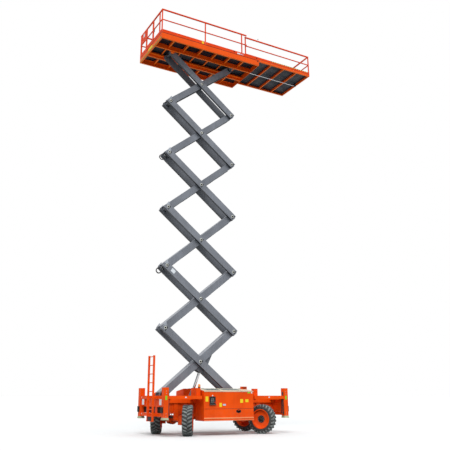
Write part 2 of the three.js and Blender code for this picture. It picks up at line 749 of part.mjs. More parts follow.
// Two plates below the lowest inner arm that take the cylinder between them.
function gusset() {
  const eye = eyeInArm();
  const root = -ARM_DEPTH / 2 + ARM_WALL / 2;
  const plate = outline([
    [eye.x - 170, root],
    [eye.x - 80, eye.y],
    [eye.x - 40, eye.y - 70],
    [eye.x + 40, eye.y - 80],
    [eye.x + 330, eye.y - 20],
    [eye.x + 760, root],
  ]);
  const inner = BARREL_RADIUS + SLIDE_CLEARANCE + 3;
  const web = block(eye.x + 420, eye.x + 440, -inner - 1, inner + 1, eye.y + 70, root);
  return [
    prismY(plate, inner, inner + GUSSET_PLATE),
    prismY(plate, -inner - GUSSET_PLATE, -inner),
    web,
  ];
}

function outerArms(level) {
  const half = ARM_PITCH / 2;
  const welded = OUTER_INNER_Y + ARM_WALL / 2;
  const pieces = [
    armTube(OUTER_INNER_Y, OUTER_Y),
    armTube(-OUTER_Y, -OUTER_INNER_Y),
    barY(SHAFT_RADIUS, -welded, welded, 0, 0),
  ];
  const leftEnd = level === LEVELS ? SHAFT_END_Y : welded;
  pieces.push(barY(SHAFT_RADIUS, -leftEnd, leftEnd, -half, 0));
  if (level === 1) pieces.push(...rollerShaft(half));
  else pieces.push(barY(SHAFT_RADIUS, -welded, welded, half, 0));
  return fuse(pieces);
}

for (let level = 1; level <= LEVELS; level += 1) {
  const inner = place(`inner_arm_${level}`, innerArm(level), BLUE_GREY);
  const outer = place(`outer_arms_${level}`, outerArms(level), BLUE_GREY);
  for (const arm of [inner, outer]) {
    arm.position.set(PIVOT_X + SPAN / 2, 0, PIVOT_Z + RISE * (level - 0.5));
  }
  inner.rotation.y = -REST_ANGLE;
  outer.rotation.y = REST_ANGLE;
}

// Hose loops that come out of the ladder end of two inner arms and go back in.
function hoseLoop() {
  // the ends butt against the boss, just above and below its middle
  const start = BOSS_RADIUS - 3 * TOUCH_GAP;
  const route = new THREE.CatmullRomCurve3([
    new THREE.Vector3(-start, 0, 19),
    new THREE.Vector3(-110, 0, 20),
    new THREE.Vector3(-180, 0, 50),
    new THREE.Vector3(-280, 0, 100),
    new THREE.Vector3(-380, 0, 70),
    new THREE.Vector3(-405, 0, 0),
    new THREE.Vector3(-380, 0, -70),
    new THREE.Vector3(-280, 0, -100),
    new THREE.Vector3(-180, 0, -50),
    new THREE.Vector3(-110, 0, -20),
    new THREE.Vector3(-start, 0, -19),
  ]);
  const section = new THREE.Shape();
  section.absarc(0, 0, 16, 0, Math.PI * 2, false);
  return toSolid(
    new THREE.ExtrudeGeometry(section, { steps: 18, extrudePath: route, curveSegments: 3, bevelEnabled: false }),
  );
}

for (const level of [3, 5]) {
  const loop = place(`hose_loop_${level}`, hoseLoop(), BLACK);
  loop.position.set(PIVOT_X, -60, PIVOT_Z + RISE * (level - 1));
  loop.rotation.y = -REST_ANGLE;
}

// ---------------------------------------------------------------- lift cylinder

const ramLine = RAM_EYE.clone().sub(RAM_BASE);
const RAM_ANGLE = ramLine.angle();
const RAM_REST = ramLine.length();

function barrel() {
  const halfWidth = BARREL_RADIUS;
  const solid = fuse([
    barX(BARREL_RADIUS, 0, BARREL_LENGTH),
    barY(BARREL_RADIUS, -halfWidth, halfWidth),
  ]);
  return cut(solid, [
    barX(ROD_RADIUS + ROD_CLEARANCE, BARREL_BOTTOM + RAM_SHAFT_RADIUS, BARREL_LENGTH + 1),
    barY(RAM_SHAFT_RADIUS + PIN_CLEARANCE, -halfWidth - 1, halfWidth + 1),
  ]);
}

function pistonRod() {
  const width = BARREL_RADIUS + 2;
  return fuse([
    barX(ROD_RADIUS, RAM_REST - ROD_LENGTH + RAM_SHAFT_RADIUS, RAM_REST),
    barY(RAM_EYE_RADIUS, -width, width, RAM_REST, 0),
  ]);
}

for (const [name, solid, material] of [
  ["lift_barrel", barrel(), BLUE_GREY],
  ["lift_rod", pistonRod(), STEEL],
]) {
  const piece = place(name, solid, material);
  piece.position.set(RAM_BASE.x, 0, RAM_BASE.y);
  piece.rotation.y = -RAM_ANGLE;
}

// ---------------------------------------------------------------- platform

const platform = new THREE.Group();
platform.position.z = PLATFORM_Z;
lift.add(platform);

const TRACK_BOTTOM = FRAME_DROP + ROLLER_RADIUS + TOUCH_GAP;
const RAIL_WEB_Y = SHAFT_END_Y + 12;

// Edge beams: a channel along each side with its flanges inward, and a plate across each end.
function edgeBeams() {
  const lip = DECK_HALF_WIDTH - FLANGE_WIDTH;
  const web = DECK_HALF_WIDTH - FRAME_WEB;
  const channels = SIDES.map((side) =>
    prismX(
      outline([
        [side * lip, 0],
        [side * DECK_HALF_WIDTH, 0],
        [side * DECK_HALF_WIDTH, FRAME_TOP],
        [side * lip, FRAME_TOP],
        [side * lip, FRAME_TOP - FLANGE_PLATE],
        [side * web, FRAME_TOP - FLANGE_PLATE],
        [side * web, FLANGE_PLATE],
        [side * lip, FLANGE_PLATE],
      ]),
      DECK_LEFT_X,
      DECK_RIGHT_X,
    ),
  );
  const reach = web + 3;
  return [
    ...channels,
    block(DECK_LEFT_X + 2, DECK_LEFT_X + 2 + FRAME_WEB, -reach, reach, 2, FRAME_TOP - 2),
    block(DECK_LEFT_X + 5, DECK_LEFT_X + FLANGE_WIDTH, -reach, reach, 3, 3 + FLANGE_PLATE),
    block(DECK_RIGHT_X - 2 - FRAME_WEB, DECK_RIGHT_X - 2, -reach, reach, 2, FRAME_TOP - 2),
  ];
}

// Inner rails: a web with a lower flange outside it and the roller track inside it.
function trackRails() {
  const web = RAIL_WEB_Y + FRAME_WEB;
  return SIDES.map((side) =>
    prismX(
      outline([
        [side * RAIL_WEB_Y, 0],
        [side * (RAIL_WEB_Y + FLANGE_WIDTH), 0],
        [side * (RAIL_WEB_Y + FLANGE_WIDTH), FLANGE_PLATE],
        [side * web, FLANGE_PLATE],
        [side * web, FRAME_TOP - 1],
        [side * RAIL_WEB_Y, FRAME_TOP - 1],
        [side * RAIL_WEB_Y, TRACK_BOTTOM + TRACK_PLATE],
        [side * TRACK_Y, TRACK_BOTTOM + TRACK_PLATE],
        [side * TRACK_Y, TRACK_BOTTOM],
        [side * RAIL_WEB_Y, TRACK_BOTTOM],
      ]),
      DECK_LEFT_X + 6,
      DECK_RIGHT_X - 6,
    ),
  );
}

// Cross members: deep ones outside the tracks, shallow ones between them above the folded arms.
function crossMembers() {
  const pitch = (DECK_RIGHT_X - DECK_LEFT_X) / (CROSS_MEMBERS + 1);
  const inner = RAIL_WEB_Y + FRAME_WEB / 2;
  const outer = DECK_HALF_WIDTH - FRAME_WEB / 2;
  return Array.from({ length: CROSS_MEMBERS }, (_, i) => DECK_LEFT_X + (i + 1) * pitch).flatMap((x) => [
    ...SIDES.map((side) => sideBlock(side, x - 30, x + 30, inner, outer, FRAME_TOP - 120, FRAME_TOP - 3)),
    block(x - 25, x + 25, -inner, inner, FRAME_TOP - 48, FRAME_TOP - 5),
  ]);
}

// Lugs below the tracks for the fixed upper shaft.
function upperPivot() {
  const z = FRAME_DROP;
  const ear = ARM_DEPTH / 2 - RAIL_WIDTH / 2;
  const lugs = SIDES.flatMap((side) => [
    sideBlock(side, PIVOT_X - ear, PIVOT_X + ear, TRACK_Y, RAIL_WEB_Y + 1, z, TRACK_BOTTOM + 1),
    barY(
      ear, Math.min(side * TRACK_Y, side * (RAIL_WEB_Y + 1)), Math.max(side * TRACK_Y, side * (RAIL_WEB_Y + 1)),
      PIVOT_X, z,
    ),
  ]);
  const bore = SIDES.map((side) => {
    const y0 = Math.min(side * (TRACK_Y - 1), side * (SHAFT_END_Y + 2));
    return barY(BORE_RADIUS, y0, y0 + SHAFT_END_Y + 3 - TRACK_Y, PIVOT_X, z);
  });
  return { lugs, bore };
}

const pivot = upperPivot();
place(
  "platform_frame",
  cut(fuse([...edgeBeams(), ...trackRails(), ...crossMembers(), ...pivot.lugs]), pivot.bore),
  ORANGE,
  platform,
);

place(
  "platform_deck",
  block(
    DECK_LEFT_X, DECK_RIGHT_X, -DECK_HALF_WIDTH, DECK_HALF_WIDTH, FRAME_TOP + TOUCH_GAP, DECK_TOP,
  ),
  DECK_BLACK,
  platform,
);

// A guard rail along X: toe board, posts, a mid tube and a top tube.
function sideRail({ side, face, x0, x1, toeEnd, floor, toe, top, posts }) {
  const foot = floor + TOUCH_GAP;
  const pieces = [
    sideBlock(side, x0, toeEnd, face - TOE_PLATE, face, foot, floor + toe),
    sideBlock(side, x0, x1, face - TOP_TUBE, face, top - TOP_TUBE, top),
    sideBlock(side, x0, x1, face - MID_TUBE, face, MID_RAIL_Z - MID_TUBE, MID_RAIL_Z),
  ];
  for (const x of posts) {
    pieces.push(
      sideBlock(side, x - POST_TUBE / 2, x + POST_TUBE / 2, face - POST_TUBE - 2, face - 2, foot + 1, top - 5),
    );
  }
  return fuse(pieces);
}

for (const side of SIDES) {
  const rail = sideRail({
    side,
    face: DECK_HALF_WIDTH,
    x0: DECK_LEFT_X,
    x1: ROLLOUT_LEFT_X + POST_TUBE + 4, // past the first post of the roll-out's rail
    toeEnd: DECK_RIGHT_X,
    floor: DECK_TOP,
    toe: TOE_BOARD,
    top: RAIL_TOP,
    posts: SIDE_POSTS,
  });
  place(`guard_rail_${SIDE_NAMES.get(side)}`, rail, ORANGE, platform);
}

// End rail at the ladder end, open between the latch post and the hinge post of the gate.
const END_RAIL_Y = DECK_HALF_WIDTH - TOP_TUBE - TOUCH_GAP;
function endRail() {
  const x0 = DECK_LEFT_X;
  const foot = DECK_TOP + TOUCH_GAP;
  const postAt = (y) =>
    block(x0 + 2, x0 + 2 + POST_TUBE, y - POST_TUBE / 2, y + POST_TUBE / 2, foot + 1, RAIL_TOP - 5);
  const runs = [
    [-END_RAIL_Y, GATE_LATCH_Y + POST_TUBE / 2 + 1],
    [GATE_HINGE_Y - POST_TUBE / 2 - 1, END_RAIL_Y],
  ];
  const pieces = [block(x0, x0 + TOE_PLATE, -END_RAIL_Y, END_RAIL_Y, foot, DECK_TOP + TOE_BOARD)];
  for (const [y0, y1] of runs) {
    pieces.push(block(x0, x0 + TOP_TUBE, y0, y1, RAIL_TOP - TOP_TUBE, RAIL_TOP));
    pieces.push(block(x0, x0 + MID_TUBE, y0, y1, MID_RAIL_Z - MID_TUBE, MID_RAIL_Z));
  }
  for (const y of [END_POST_Y, GATE_LATCH_Y, GATE_HINGE_Y, END_RAIL_Y - POST_TUBE]) pieces.push(postAt(y));
  pieces.push(block(x0 + 5, x0 + 9, GATE_HINGE_Y, END_RAIL_Y - POST_TUBE, MID_RAIL_Z - 5, RAIL_TOP - 5));
  return fuse(pieces);
}

place("guard_rail_end", endRail(), ORANGE, platform);

// The gate, hung on the hinge post, above the toe board. Its free end swings out a little as it opens.
const GATE_SWING = 3;
function gate() {
  const x0 = DECK_LEFT_X;
  const low = GATE_LATCH_Y + POST_TUBE / 2 + 1 + SLIDE_CLEARANCE + GATE_SWING;
  const high = GATE_HINGE_Y - POST_TUBE / 2 - 1 - SLIDE_CLEARANCE;
  const bottom = DECK_TOP + TOE_BOARD + SLIDE_CLEARANCE;
  const stile = (y) => block(x0 + 2, x0 + 2 + POST_TUBE, y, y + POST_TUBE, bottom, RAIL_TOP - 2);
  const barAt = (z, size) => block(x0, x0 + size, low - 1, high + 1, z - size, z);
  // two hinge knuckles reach to the post
  const knuckles = [bottom + 120, RAIL_TOP - 160].map((z) =>
    block(x0 + 6, x0 + 25, high - 5, GATE_HINGE_Y - POST_TUBE / 2 - TOUCH_GAP, z, z + 60),
  );
  return fuse([
    stile(low), stile(high - POST_TUBE), barAt(RAIL_TOP, TOP_TUBE), barAt(MID_RAIL_Z, MID_TUBE),
    barAt(bottom + MID_TUBE, MID_TUBE), ...knuckles,
  ]);
}

place("gate", gate(), ORANGE, platform);

// ---------------------------------------------------------------- roll-out deck

function rolloutFrame() {
  const z0 = ROLLOUT_BOTTOM;
  const z1 = ROLLOUT_TOP;
  const half = ROLLOUT_HALF_WIDTH;
  const pieces = SIDES.flatMap((side) => [
    prismX(
      outline([
        [side * (half - FLANGE_WIDTH), z0],
        [side * half, z0],
        [side * half, z1],
        [side * (half - FRAME_WEB), z1],
        [side * (half - FRAME_WEB), z0 + FLANGE_PLATE],
        [side * (half - FLANGE_WIDTH), z0 + FLANGE_PLATE],
      ]),
      ROLLOUT_LEFT_X,
      ROLLOUT_RIGHT_X,
    ),
    // glide pads on the main deck
    ...[ROLLOUT_LEFT_X + 20, DECK_RIGHT_X - 140].map((x) =>
      sideBlock(side, x, x + 100, half - FLANGE_WIDTH + 5, half - 15, DECK_TOP + TOUCH_GAP, z0 + 3),
    ),
  ]);
  const first = ROLLOUT_LEFT_X + 3;
  const pitch = (ROLLOUT_RIGHT_X - 3 - ROLLOUT_CROSS_WIDTH - first) / (ROLLOUT_CROSS_MEMBERS + 1);
  for (let i = 0; i <= ROLLOUT_CROSS_MEMBERS + 1; i += 1) {
    const x = first + i * pitch;
    pieces.push(block(x, x + ROLLOUT_CROSS_WIDTH, -half + 3, half - 3, z0 + 2, z1 - 2));
  }
  return fuse(pieces);
}

place("rollout_frame", rolloutFrame(), ORANGE, platform);
place(
  "rollout_deck",
  block(
    ROLLOUT_LEFT_X, ROLLOUT_RIGHT_X, -ROLLOUT_HALF_WIDTH, ROLLOUT_HALF_WIDTH,
    ROLLOUT_TOP + TOUCH_GAP, ROLLOUT_FLOOR,
  ),
  DECK_BLACK,
  platform,
);

// Rails round the three open sides of the roll-out deck.
function rolloutRails() {
  const top = RAIL_TOP - ROLLOUT_RAIL_DROP;
  const posts = [ROLLOUT_LEFT_X + POST_TUBE / 2 + 2, ROLLOUT_RIGHT_X - POST_TUBE / 2 - 2];
  const sides = SIDES.map((side) =>
    sideRail({
      side,
      face: ROLLOUT_HALF_WIDTH,
      x0: ROLLOUT_LEFT_X,
      x1: ROLLOUT_RIGHT_X,
      toeEnd: ROLLOUT_RIGHT_X,
      floor: ROLLOUT_FLOOR,
      toe: ROLLOUT_TOE,
      top,
      posts,
    }),
  );
  const half = ROLLOUT_HALF_WIDTH - 1;
  const end = ROLLOUT_RIGHT_X;
  return fuse([
    ...sides,
    block(end - TOE_PLATE, end, -half, half, ROLLOUT_FLOOR + TOUCH_GAP, ROLLOUT_FLOOR + ROLLOUT_TOE),
    block(end - TOP_TUBE, end, -half, half, top - TOP_TUBE, top),
    block(end - MID_TUBE, end, -half, half, MID_RAIL_Z - MID_TUBE, MID_RAIL_Z),
  ]);
}

place("rollout_rails", rolloutRails(), ORANGE, platform);

export default lift;
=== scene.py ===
"""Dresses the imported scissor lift: finishes for its CAD nodes, wheels, cylinder, trim, lights and camera."""

import logging
import math
from dataclasses import dataclass, field
from enum import Enum
from typing import Callable, Iterable, Optional, Sequence

import bmesh
import bpy
from mathutils import Matrix, Vector


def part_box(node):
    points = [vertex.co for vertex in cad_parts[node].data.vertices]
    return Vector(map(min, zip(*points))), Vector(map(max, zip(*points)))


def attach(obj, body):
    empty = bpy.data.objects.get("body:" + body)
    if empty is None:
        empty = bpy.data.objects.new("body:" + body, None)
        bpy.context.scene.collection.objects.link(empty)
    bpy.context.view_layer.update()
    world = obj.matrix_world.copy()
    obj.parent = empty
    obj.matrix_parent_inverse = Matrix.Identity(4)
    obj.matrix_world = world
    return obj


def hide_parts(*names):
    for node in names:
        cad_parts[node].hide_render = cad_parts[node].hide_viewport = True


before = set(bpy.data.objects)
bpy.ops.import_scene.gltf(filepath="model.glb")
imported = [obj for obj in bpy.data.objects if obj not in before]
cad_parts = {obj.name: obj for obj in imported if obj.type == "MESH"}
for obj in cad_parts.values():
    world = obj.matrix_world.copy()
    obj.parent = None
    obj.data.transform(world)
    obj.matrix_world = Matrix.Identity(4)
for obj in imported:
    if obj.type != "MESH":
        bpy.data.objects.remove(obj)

logging.basicConfig(level=logging.INFO, format="%(message)s")
LOG = logging.getLogger("scissor_lift")

Point = Sequence[float]
Colour = tuple[float, float, float]
Socket = bpy.types.NodeSocket

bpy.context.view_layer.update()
MM = 0.001
SHIFT_X = -0.740  # from the middle of the wheelbase to the frame's origin
SIDES = {"near": -1, "far": 1}
ENDS = {"left": -1, "right": 1}
DECK_FLOOR = 15.29552  # top of the main deck
WHEEL_HEIGHT = 0.49878  # wheel centres above the floor
OUTRIGGER_X, AXLE_X = 2440, 1700  # from the middle of the wheelbase, in mm
SMOOTH_BELOW = math.radians(35)  # sharper edges stay sharp
WELD = 1e-5  # vertices nearer than this are one
ROUND_ABOVE = math.radians(40)  # sharper edges of CAD nodes are rounded


def along_x(millimetres: float) -> float:
    """Turns a distance from the middle of the wheelbase, in mm, into a frame X in metres."""
    return millimetres * MM + SHIFT_X


def span(way: float, near: float, far: float) -> list[float]:
    """Turns two distances from the middle plane, on the side that way says, into a low and a high end."""
    return sorted((way * near, way * far))


def put(name: str, data: bpy.types.ID) -> bpy.types.Object:
    """Adds an object to the scene."""
    placed = bpy.data.objects.new(name, data)
    bpy.context.scene.collection.objects.link(placed)
    return placed


# ---------------------------------------------------------------- node graphs


class Tree:
    """A node tree with short ways to add and link nodes."""

    def __init__(self, tree: bpy.types.NodeTree) -> None:
        """Empties the tree and keeps it."""
        self.tree = tree
        tree.nodes.clear()

    def add(self, kind: str, inputs: Optional[dict] = None, **settings: object) -> bpy.types.Node:
        """Adds a node.

        Args:
            kind: the node type without its ShaderNode prefix.
            inputs: socket names or numbers with a value or an output socket to link.
            settings: attributes of the node.

        Returns:
            The new node.
        """
        node = self.tree.nodes.new("ShaderNode" + kind)
        for key, value in settings.items():
            setattr(node, key, value)
        for key, value in (inputs or {}).items():
            if isinstance(value, Socket):
                self.tree.links.new(value, node.inputs[key])
            else:
                node.inputs[key].default_value = value
        return node

    def coordinates(self, scale: Point = (1, 1, 1), turn: Point = (0, 0, 0)) -> Socket:
        """Object coordinates through a Mapping node.

        Args:
            scale: the pattern's scale along each axis.
            turn: the pattern's turn about each axis, in radians.

        Returns:
            The mapped vector.
        """
        source = self.add("TexCoord").outputs["Object"]
        mapping = self.add("Mapping", {"Vector": source, "Scale": scale, "Rotation": turn})
        return mapping.outputs["Vector"]

    def noise(self, scale: float, detail: float = 4, vector: Optional[Socket] = None) -> Socket:
        """A noise value.

        Args:
            scale: the noise scale, per metre.
            detail: how many octaves.
            vector: where it is read, or None for Object coordinates.

        Returns:
            The noise factor.
        """
        where = vector if vector is not None else self.coordinates()
        return self.add("TexNoise", {"Vector": where, "Scale": scale, "Detail": detail}).outputs["Fac"]

    def remap(self, value: Socket, low: float, high: float, to_low: object, to_high: float) -> Socket:
        """A clamped straight-line change of range."""
        ends = {"From Min": low, "From Max": high, "To Min": to_low, "To Max": to_high}
        return self.add("MapRange", {"Value": value, **ends}).outputs["Result"]

    def mix(self, factor: object, first: object, second: object) -> Socket:
        """A colour mixed from two, by a factor that may be linked."""
        node = self.add("Mix", data_type="RGBA")
        for index, value in ((0, factor), (6, first), (7, second)):
            if isinstance(value, Socket):
                self.tree.links.new(value, node.inputs[index])
            else:
                node.inputs[index].default_value = value if index == 0 else (*value, 1)
        return node.outputs[2]

    def cells(self, scale: Point, turn: float) -> Socket:
        """The distance to the nearest centre in an even flat grid, turned about Z."""
        inputs = {"Vector": self.coordinates(scale, (0, 0, turn)), "Scale": 1.0, "Randomness": 0.0}
        return self.add("TexVoronoi", inputs, voronoi_dimensions="2D").outputs["Distance"]

    def facing_up(self) -> Socket:
        """How far a face looks up, from -1 to 1."""
        return self.add("SeparateXYZ", {0: self.add("NewGeometry").outputs["Normal"]}).outputs["Z"]

    def along(self, axis: str) -> Socket:
        """One Object coordinate."""
        return self.add("SeparateXYZ", {0: self.coordinates()}).outputs[axis]

    def math(self, operation: str, first: object, second: object = 0.0) -> Socket:
        """One sum on one or two values."""
        return self.add("Math", {0: first, 1: second}, operation=operation).outputs[0]

    def bump(self, height: Socket, strength: float, distance: float, under: Optional[Socket] = None) -> Socket:
        """A bump normal, on top of another where one is given."""
        inputs = {"Height": height, "Strength": strength, "Distance": distance}
        if under is not None:
            inputs["Normal"] = under
        return self.add("Bump", inputs).outputs["Normal"]


class Graph(Tree):
    """A material's node tree, with a Principled shader on its output."""

    def __init__(self, name: str) -> None:
        """Starts a material with that name."""
        self.material = bpy.data.materials.new(name)
        self.material.use_nodes = True
        super().__init__(self.material.node_tree)
        self.shader = self.add("BsdfPrincipled")
        self.add("OutputMaterial", {"Surface": self.shader.outputs[0]})

    def feed(self, **sockets: object) -> bpy.types.Material:
        """Sets or links the shader's sockets, named with _ for a space, and returns the material."""
        for key, value in sockets.items():
            socket = self.shader.inputs[key.replace("_", " ")]
            if isinstance(value, Socket):
                self.tree.links.new(value, socket)
            elif key == "Base_Color":
                socket.default_value = (*value, 1)
            else:
                socket.default_value = value
        return self.material


# ---------------------------------------------------------------- finishes


@dataclass(frozen=True)
class Paint:
    """Sprayed machine paint with mottling, run-off streaks, dust low down and a little orange peel, and, where set,
    painted shade and highlight by which way a face looks.
    """

    name: str
    colour: Colour
    roughness: float = 0.42
    mottle: float = 0.14
    streaks: float = 0.25
    dust: float = 0.25
    dust_height: float = 1.2
    dust_colour: Colour = (0.42, 0.36, 0.29)
    specular: float = 0.12
    # Painted light: shade on faces inside the pack and on faces that look down, the colour painted on faces that look
    # down, a highlight on faces that look up, and where the pack's inside starts across the lift.
    inside_shade: float = 0.0
    below_shade: float = 0.0
    painted_underside_colour: Optional[Colour] = None
    painted_top_highlight: float = 0.0
    open_from: float = 0.27

    def shaded(self, graph: Graph, colour: Socket) -> Socket:
        """Paints shade on faces that look down or lie inside the pack, and a painted highlight on faces that look up.

        Args:
            graph: the material's graph.
            colour: the colour so far.

        Returns:
            The shaded colour.
        """
        if self.below_shade <= 0:
            return colour
        across = graph.math("ABSOLUTE", graph.along("Y"))
        inside = graph.remap(across, self.open_from - 0.012, self.open_from, self.inside_shade, 0)
        normal = graph.facing_up()
        below = graph.remap(normal, -0.35, -0.7, 0, self.below_shade)
        upward = graph.remap(normal, 0.35, 0.75, 0, 1)
        # Painted shade: faces inside the pack and faces that look down are mixed toward the painted underside colour.
        # It is a dark copy of the paint unless a paler one is set, which paints light instead.
        dark = graph.math("MULTIPLY", graph.math("MAXIMUM", inside, below), graph.math("SUBTRACT", 1.0, upward))
        under = self.painted_underside_colour or tuple(channel * 0.10 for channel in self.colour)
        colour = graph.mix(dark, colour, under)
        # Painted highlight: faces that look up are mixed toward pale grey.
        return graph.mix(graph.math("MULTIPLY", upward, self.painted_top_highlight), colour, (0.62, 0.64, 0.68))

    def build(self) -> bpy.types.Material:
        """Makes the material."""
        graph = Graph(self.name)
        deep = tuple(channel * (1 - 1.6 * self.mottle) for channel in self.colour)
        pale = tuple(min(1.0, channel * (1 + self.mottle) + 0.01 * self.mottle) for channel in self.colour)
        patch = graph.remap(graph.noise(1.7, 5), 0.3, 0.7, 0, 1)
        colour = graph.mix(patch, deep, pale)
        run = graph.noise(3.0, 5, graph.coordinates((7, 7, 0.5)))
        run = graph.remap(run, 0.52, 0.74, 0, self.streaks)
        colour = graph.mix(run, colour, tuple(channel * 0.45 for channel in self.colour))
        low = graph.remap(graph.along("Z"), 0.1, self.dust_height, self.dust, 0)
        speck = graph.remap(graph.noise(9, 7), 0.35, 0.7, 0, 1)
        colour = graph.mix(graph.math("MULTIPLY", low, speck), colour, self.dust_colour)
        chip = graph.remap(graph.noise(38, 3), 0.71, 0.74, 0, 0.55)
        colour = graph.mix(chip, colour, tuple(channel * 0.3 + 0.02 for channel in self.colour))
        # Painted shade and highlight by which way a face looks.
        colour = self.shaded(graph, colour)
        rough = graph.remap(graph.noise(6, 4), 0.3, 0.7, self.roughness - 0.08, self.roughness + 0.12)
        normal = graph.bump(graph.noise(140, 2), 0.12, 0.0012)
        normal = graph.bump(graph.noise(2.2, 2), 0.10, 0.01, normal)
        return graph.feed(Base_Color=colour, Roughness=rough, Normal=normal, Specular_IOR_Level=self.specular)


@dataclass(frozen=True)
class Rubber:
    """Tyre and hose rubber, dusty where it has rolled; a tyre's carcass is dark between its paler lugs, partly as
    painted shade in the grooves.
    """

    name: str
    colour: Colour = (0.012, 0.012, 0.013)
    dust_colour: Colour = (0.13, 0.14, 0.13)
    dust: float = 0.6
    scale: float = 14

    def build(self) -> bpy.types.Material:
        """Makes the material."""
        graph = Graph(self.name)
        patch = graph.remap(graph.noise(self.scale, 8), 0.32, 0.68, 0.15 * self.dust, self.dust)
        broad = graph.remap(graph.noise(2.5, 3), 0.3, 0.7, 0.6, 1)
        colour = graph.mix(graph.math("MULTIPLY", patch, broad), self.colour, self.dust_colour)
        normal = graph.bump(graph.noise(90, 5), 0.35, 0.0015)
        rough = graph.remap(patch, 0, 1, 0.62, 0.95)
        return graph.feed(Base_Color=colour, Roughness=rough, Normal=normal)


@dataclass(frozen=True)
class Metal:
    """Bare or plated metal with fine brushing and stains."""

    name: str
    colour: Colour = (0.55, 0.56, 0.58)
    roughness: float = 0.3
    brushing: Point = (4, 90, 4)
    stain: float = 0.3

    def build(self) -> bpy.types.Material:
        """Makes the material."""
        graph = Graph(self.name)
        line = graph.noise(10, 4, graph.coordinates(self.brushing))
        stain = graph.remap(graph.noise(7, 6), 0.45, 0.75, 0, self.stain)
        colour = graph.mix(stain, self.colour, tuple(channel * 0.4 for channel in self.colour))
        rough = graph.remap(line, 0.3, 0.7, self.roughness * 0.7, self.roughness * 1.5)
        return graph.feed(Base_Color=colour, Roughness=rough, Metallic=0.95, Normal=graph.bump(line, 0.08, 0.0005))


@dataclass(frozen=True)
class Tape:
    """Slanted warning stripes in two colours."""

    name: str
    first: Colour = (0.85, 0.62, 0.02)
    second: Colour = (0.012, 0.012, 0.012)
    pitch: float = 0.12

    def build(self) -> bpy.types.Material:
        """Makes the material."""
        graph = Graph(self.name)
        parts = graph.add("SeparateXYZ", {0: graph.coordinates()}).outputs
        run = graph.math("ADD", graph.math("ADD", parts["X"], parts["Y"]), parts["Z"])
        turn = graph.math("FRACT", graph.math("MULTIPLY", run, 1 / self.pitch))
        band = graph.math("GREATER_THAN", turn, 0.5)
        worn = graph.remap(graph.noise(35, 6), 0.55, 0.75, 0, 0.5)
        colour = graph.mix(worn, graph.mix(band, self.first, self.second), (0.5, 0.3, 0.12))
        return graph.feed(Base_Color=colour, Roughness=0.5, Normal=graph.bump(graph.noise(60, 3), 0.1, 0.0005))


@dataclass(frozen=True)
class Grille:
    """Punched mesh: pale sheet with rows of dark holes."""

    name: str
    sheet: Colour = (0.30, 0.34, 0.32)
    hole: Colour = (0.05, 0.075, 0.07)
    pitch: float = 0.022

    def build(self) -> bpy.types.Material:
        """Makes the material."""
        graph = Graph(self.name)
        hole = graph.remap(graph.cells((1 / self.pitch,) * 3, math.pi / 4), 0.34, 0.42, 0, 1)
        colour = graph.mix(hole, self.hole, self.sheet)
        colour = graph.mix(graph.remap(graph.noise(8, 5), 0.4, 0.7, 0, 0.4), colour, (0.35, 0.33, 0.28))
        return graph.feed(Base_Color=colour, Roughness=0.55, Metallic=0.2, Normal=graph.bump(hole, 0.6, 0.002))


@dataclass(frozen=True)
class TreadPlate:
    """Dark deck plate with raised anti-slip bars."""

    name: str
    colour: Colour = (0.028, 0.032, 0.042)
    bar: float = 0.03

    def build(self) -> bpy.types.Material:
        """Makes the material."""
        graph = Graph(self.name)
        ridges = []
        for turn in (math.pi / 4, -math.pi / 4):
            distance = graph.cells((1 / self.bar, 0.36 / self.bar, 0), turn)
            ridges.append(graph.remap(distance, 0.2, 0.34, 1, 0))
        ridge = graph.math("MAXIMUM", ridges[0], ridges[1])
        scuff = graph.math("MULTIPLY", ridge, graph.remap(graph.noise(5, 6), 0.4, 0.65, 0, 0.5))
        patch = graph.remap(graph.noise(1.1, 6), 0.35, 0.65, 0, 0.8)
        colour = graph.mix(patch, self.colour, tuple(channel * 1.8 for channel in self.colour))
        scuff = graph.math("MULTIPLY", scuff, graph.remap(graph.facing_up(), 0.2, 0.8, 0, 1))
        colour = graph.mix(scuff, colour, (0.3, 0.3, 0.3))
        rough = graph.remap(graph.noise(3, 5), 0.3, 0.7, 0.3, 0.65)
        return graph.feed(Base_Color=colour, Roughness=rough, Metallic=0.1, Specular_IOR_Level=0.2,
                          Normal=graph.bump(ridge, 0.5, 0.002))


@dataclass(frozen=True)
class Plastic:
    """Moulded plastic or printed foil with a fine grain."""

    name: str
    colour: Colour
    roughness: float = 0.4
    grime: float = 0.25
    glow: float = 0.0
    coat: float = 0.2

    def build(self) -> bpy.types.Material:
        """Makes the material."""
        graph = Graph(self.name)
        grime = graph.remap(graph.noise(12, 6), 0.4, 0.72, 0, self.grime)
        colour = graph.mix(grime, self.colour, tuple(channel * 0.45 + 0.02 for channel in self.colour))
        rough = graph.remap(graph.noise(20, 3), 0.3, 0.7, self.roughness * 0.8, self.roughness * 1.3)
        return graph.feed(
            Base_Color=colour, Roughness=rough, Normal=graph.bump(graph.noise(220, 2), 0.08, 0.0006),
            Coat_Weight=self.coat, Subsurface_Weight=self.glow, Subsurface_Scale=0.02,
        )


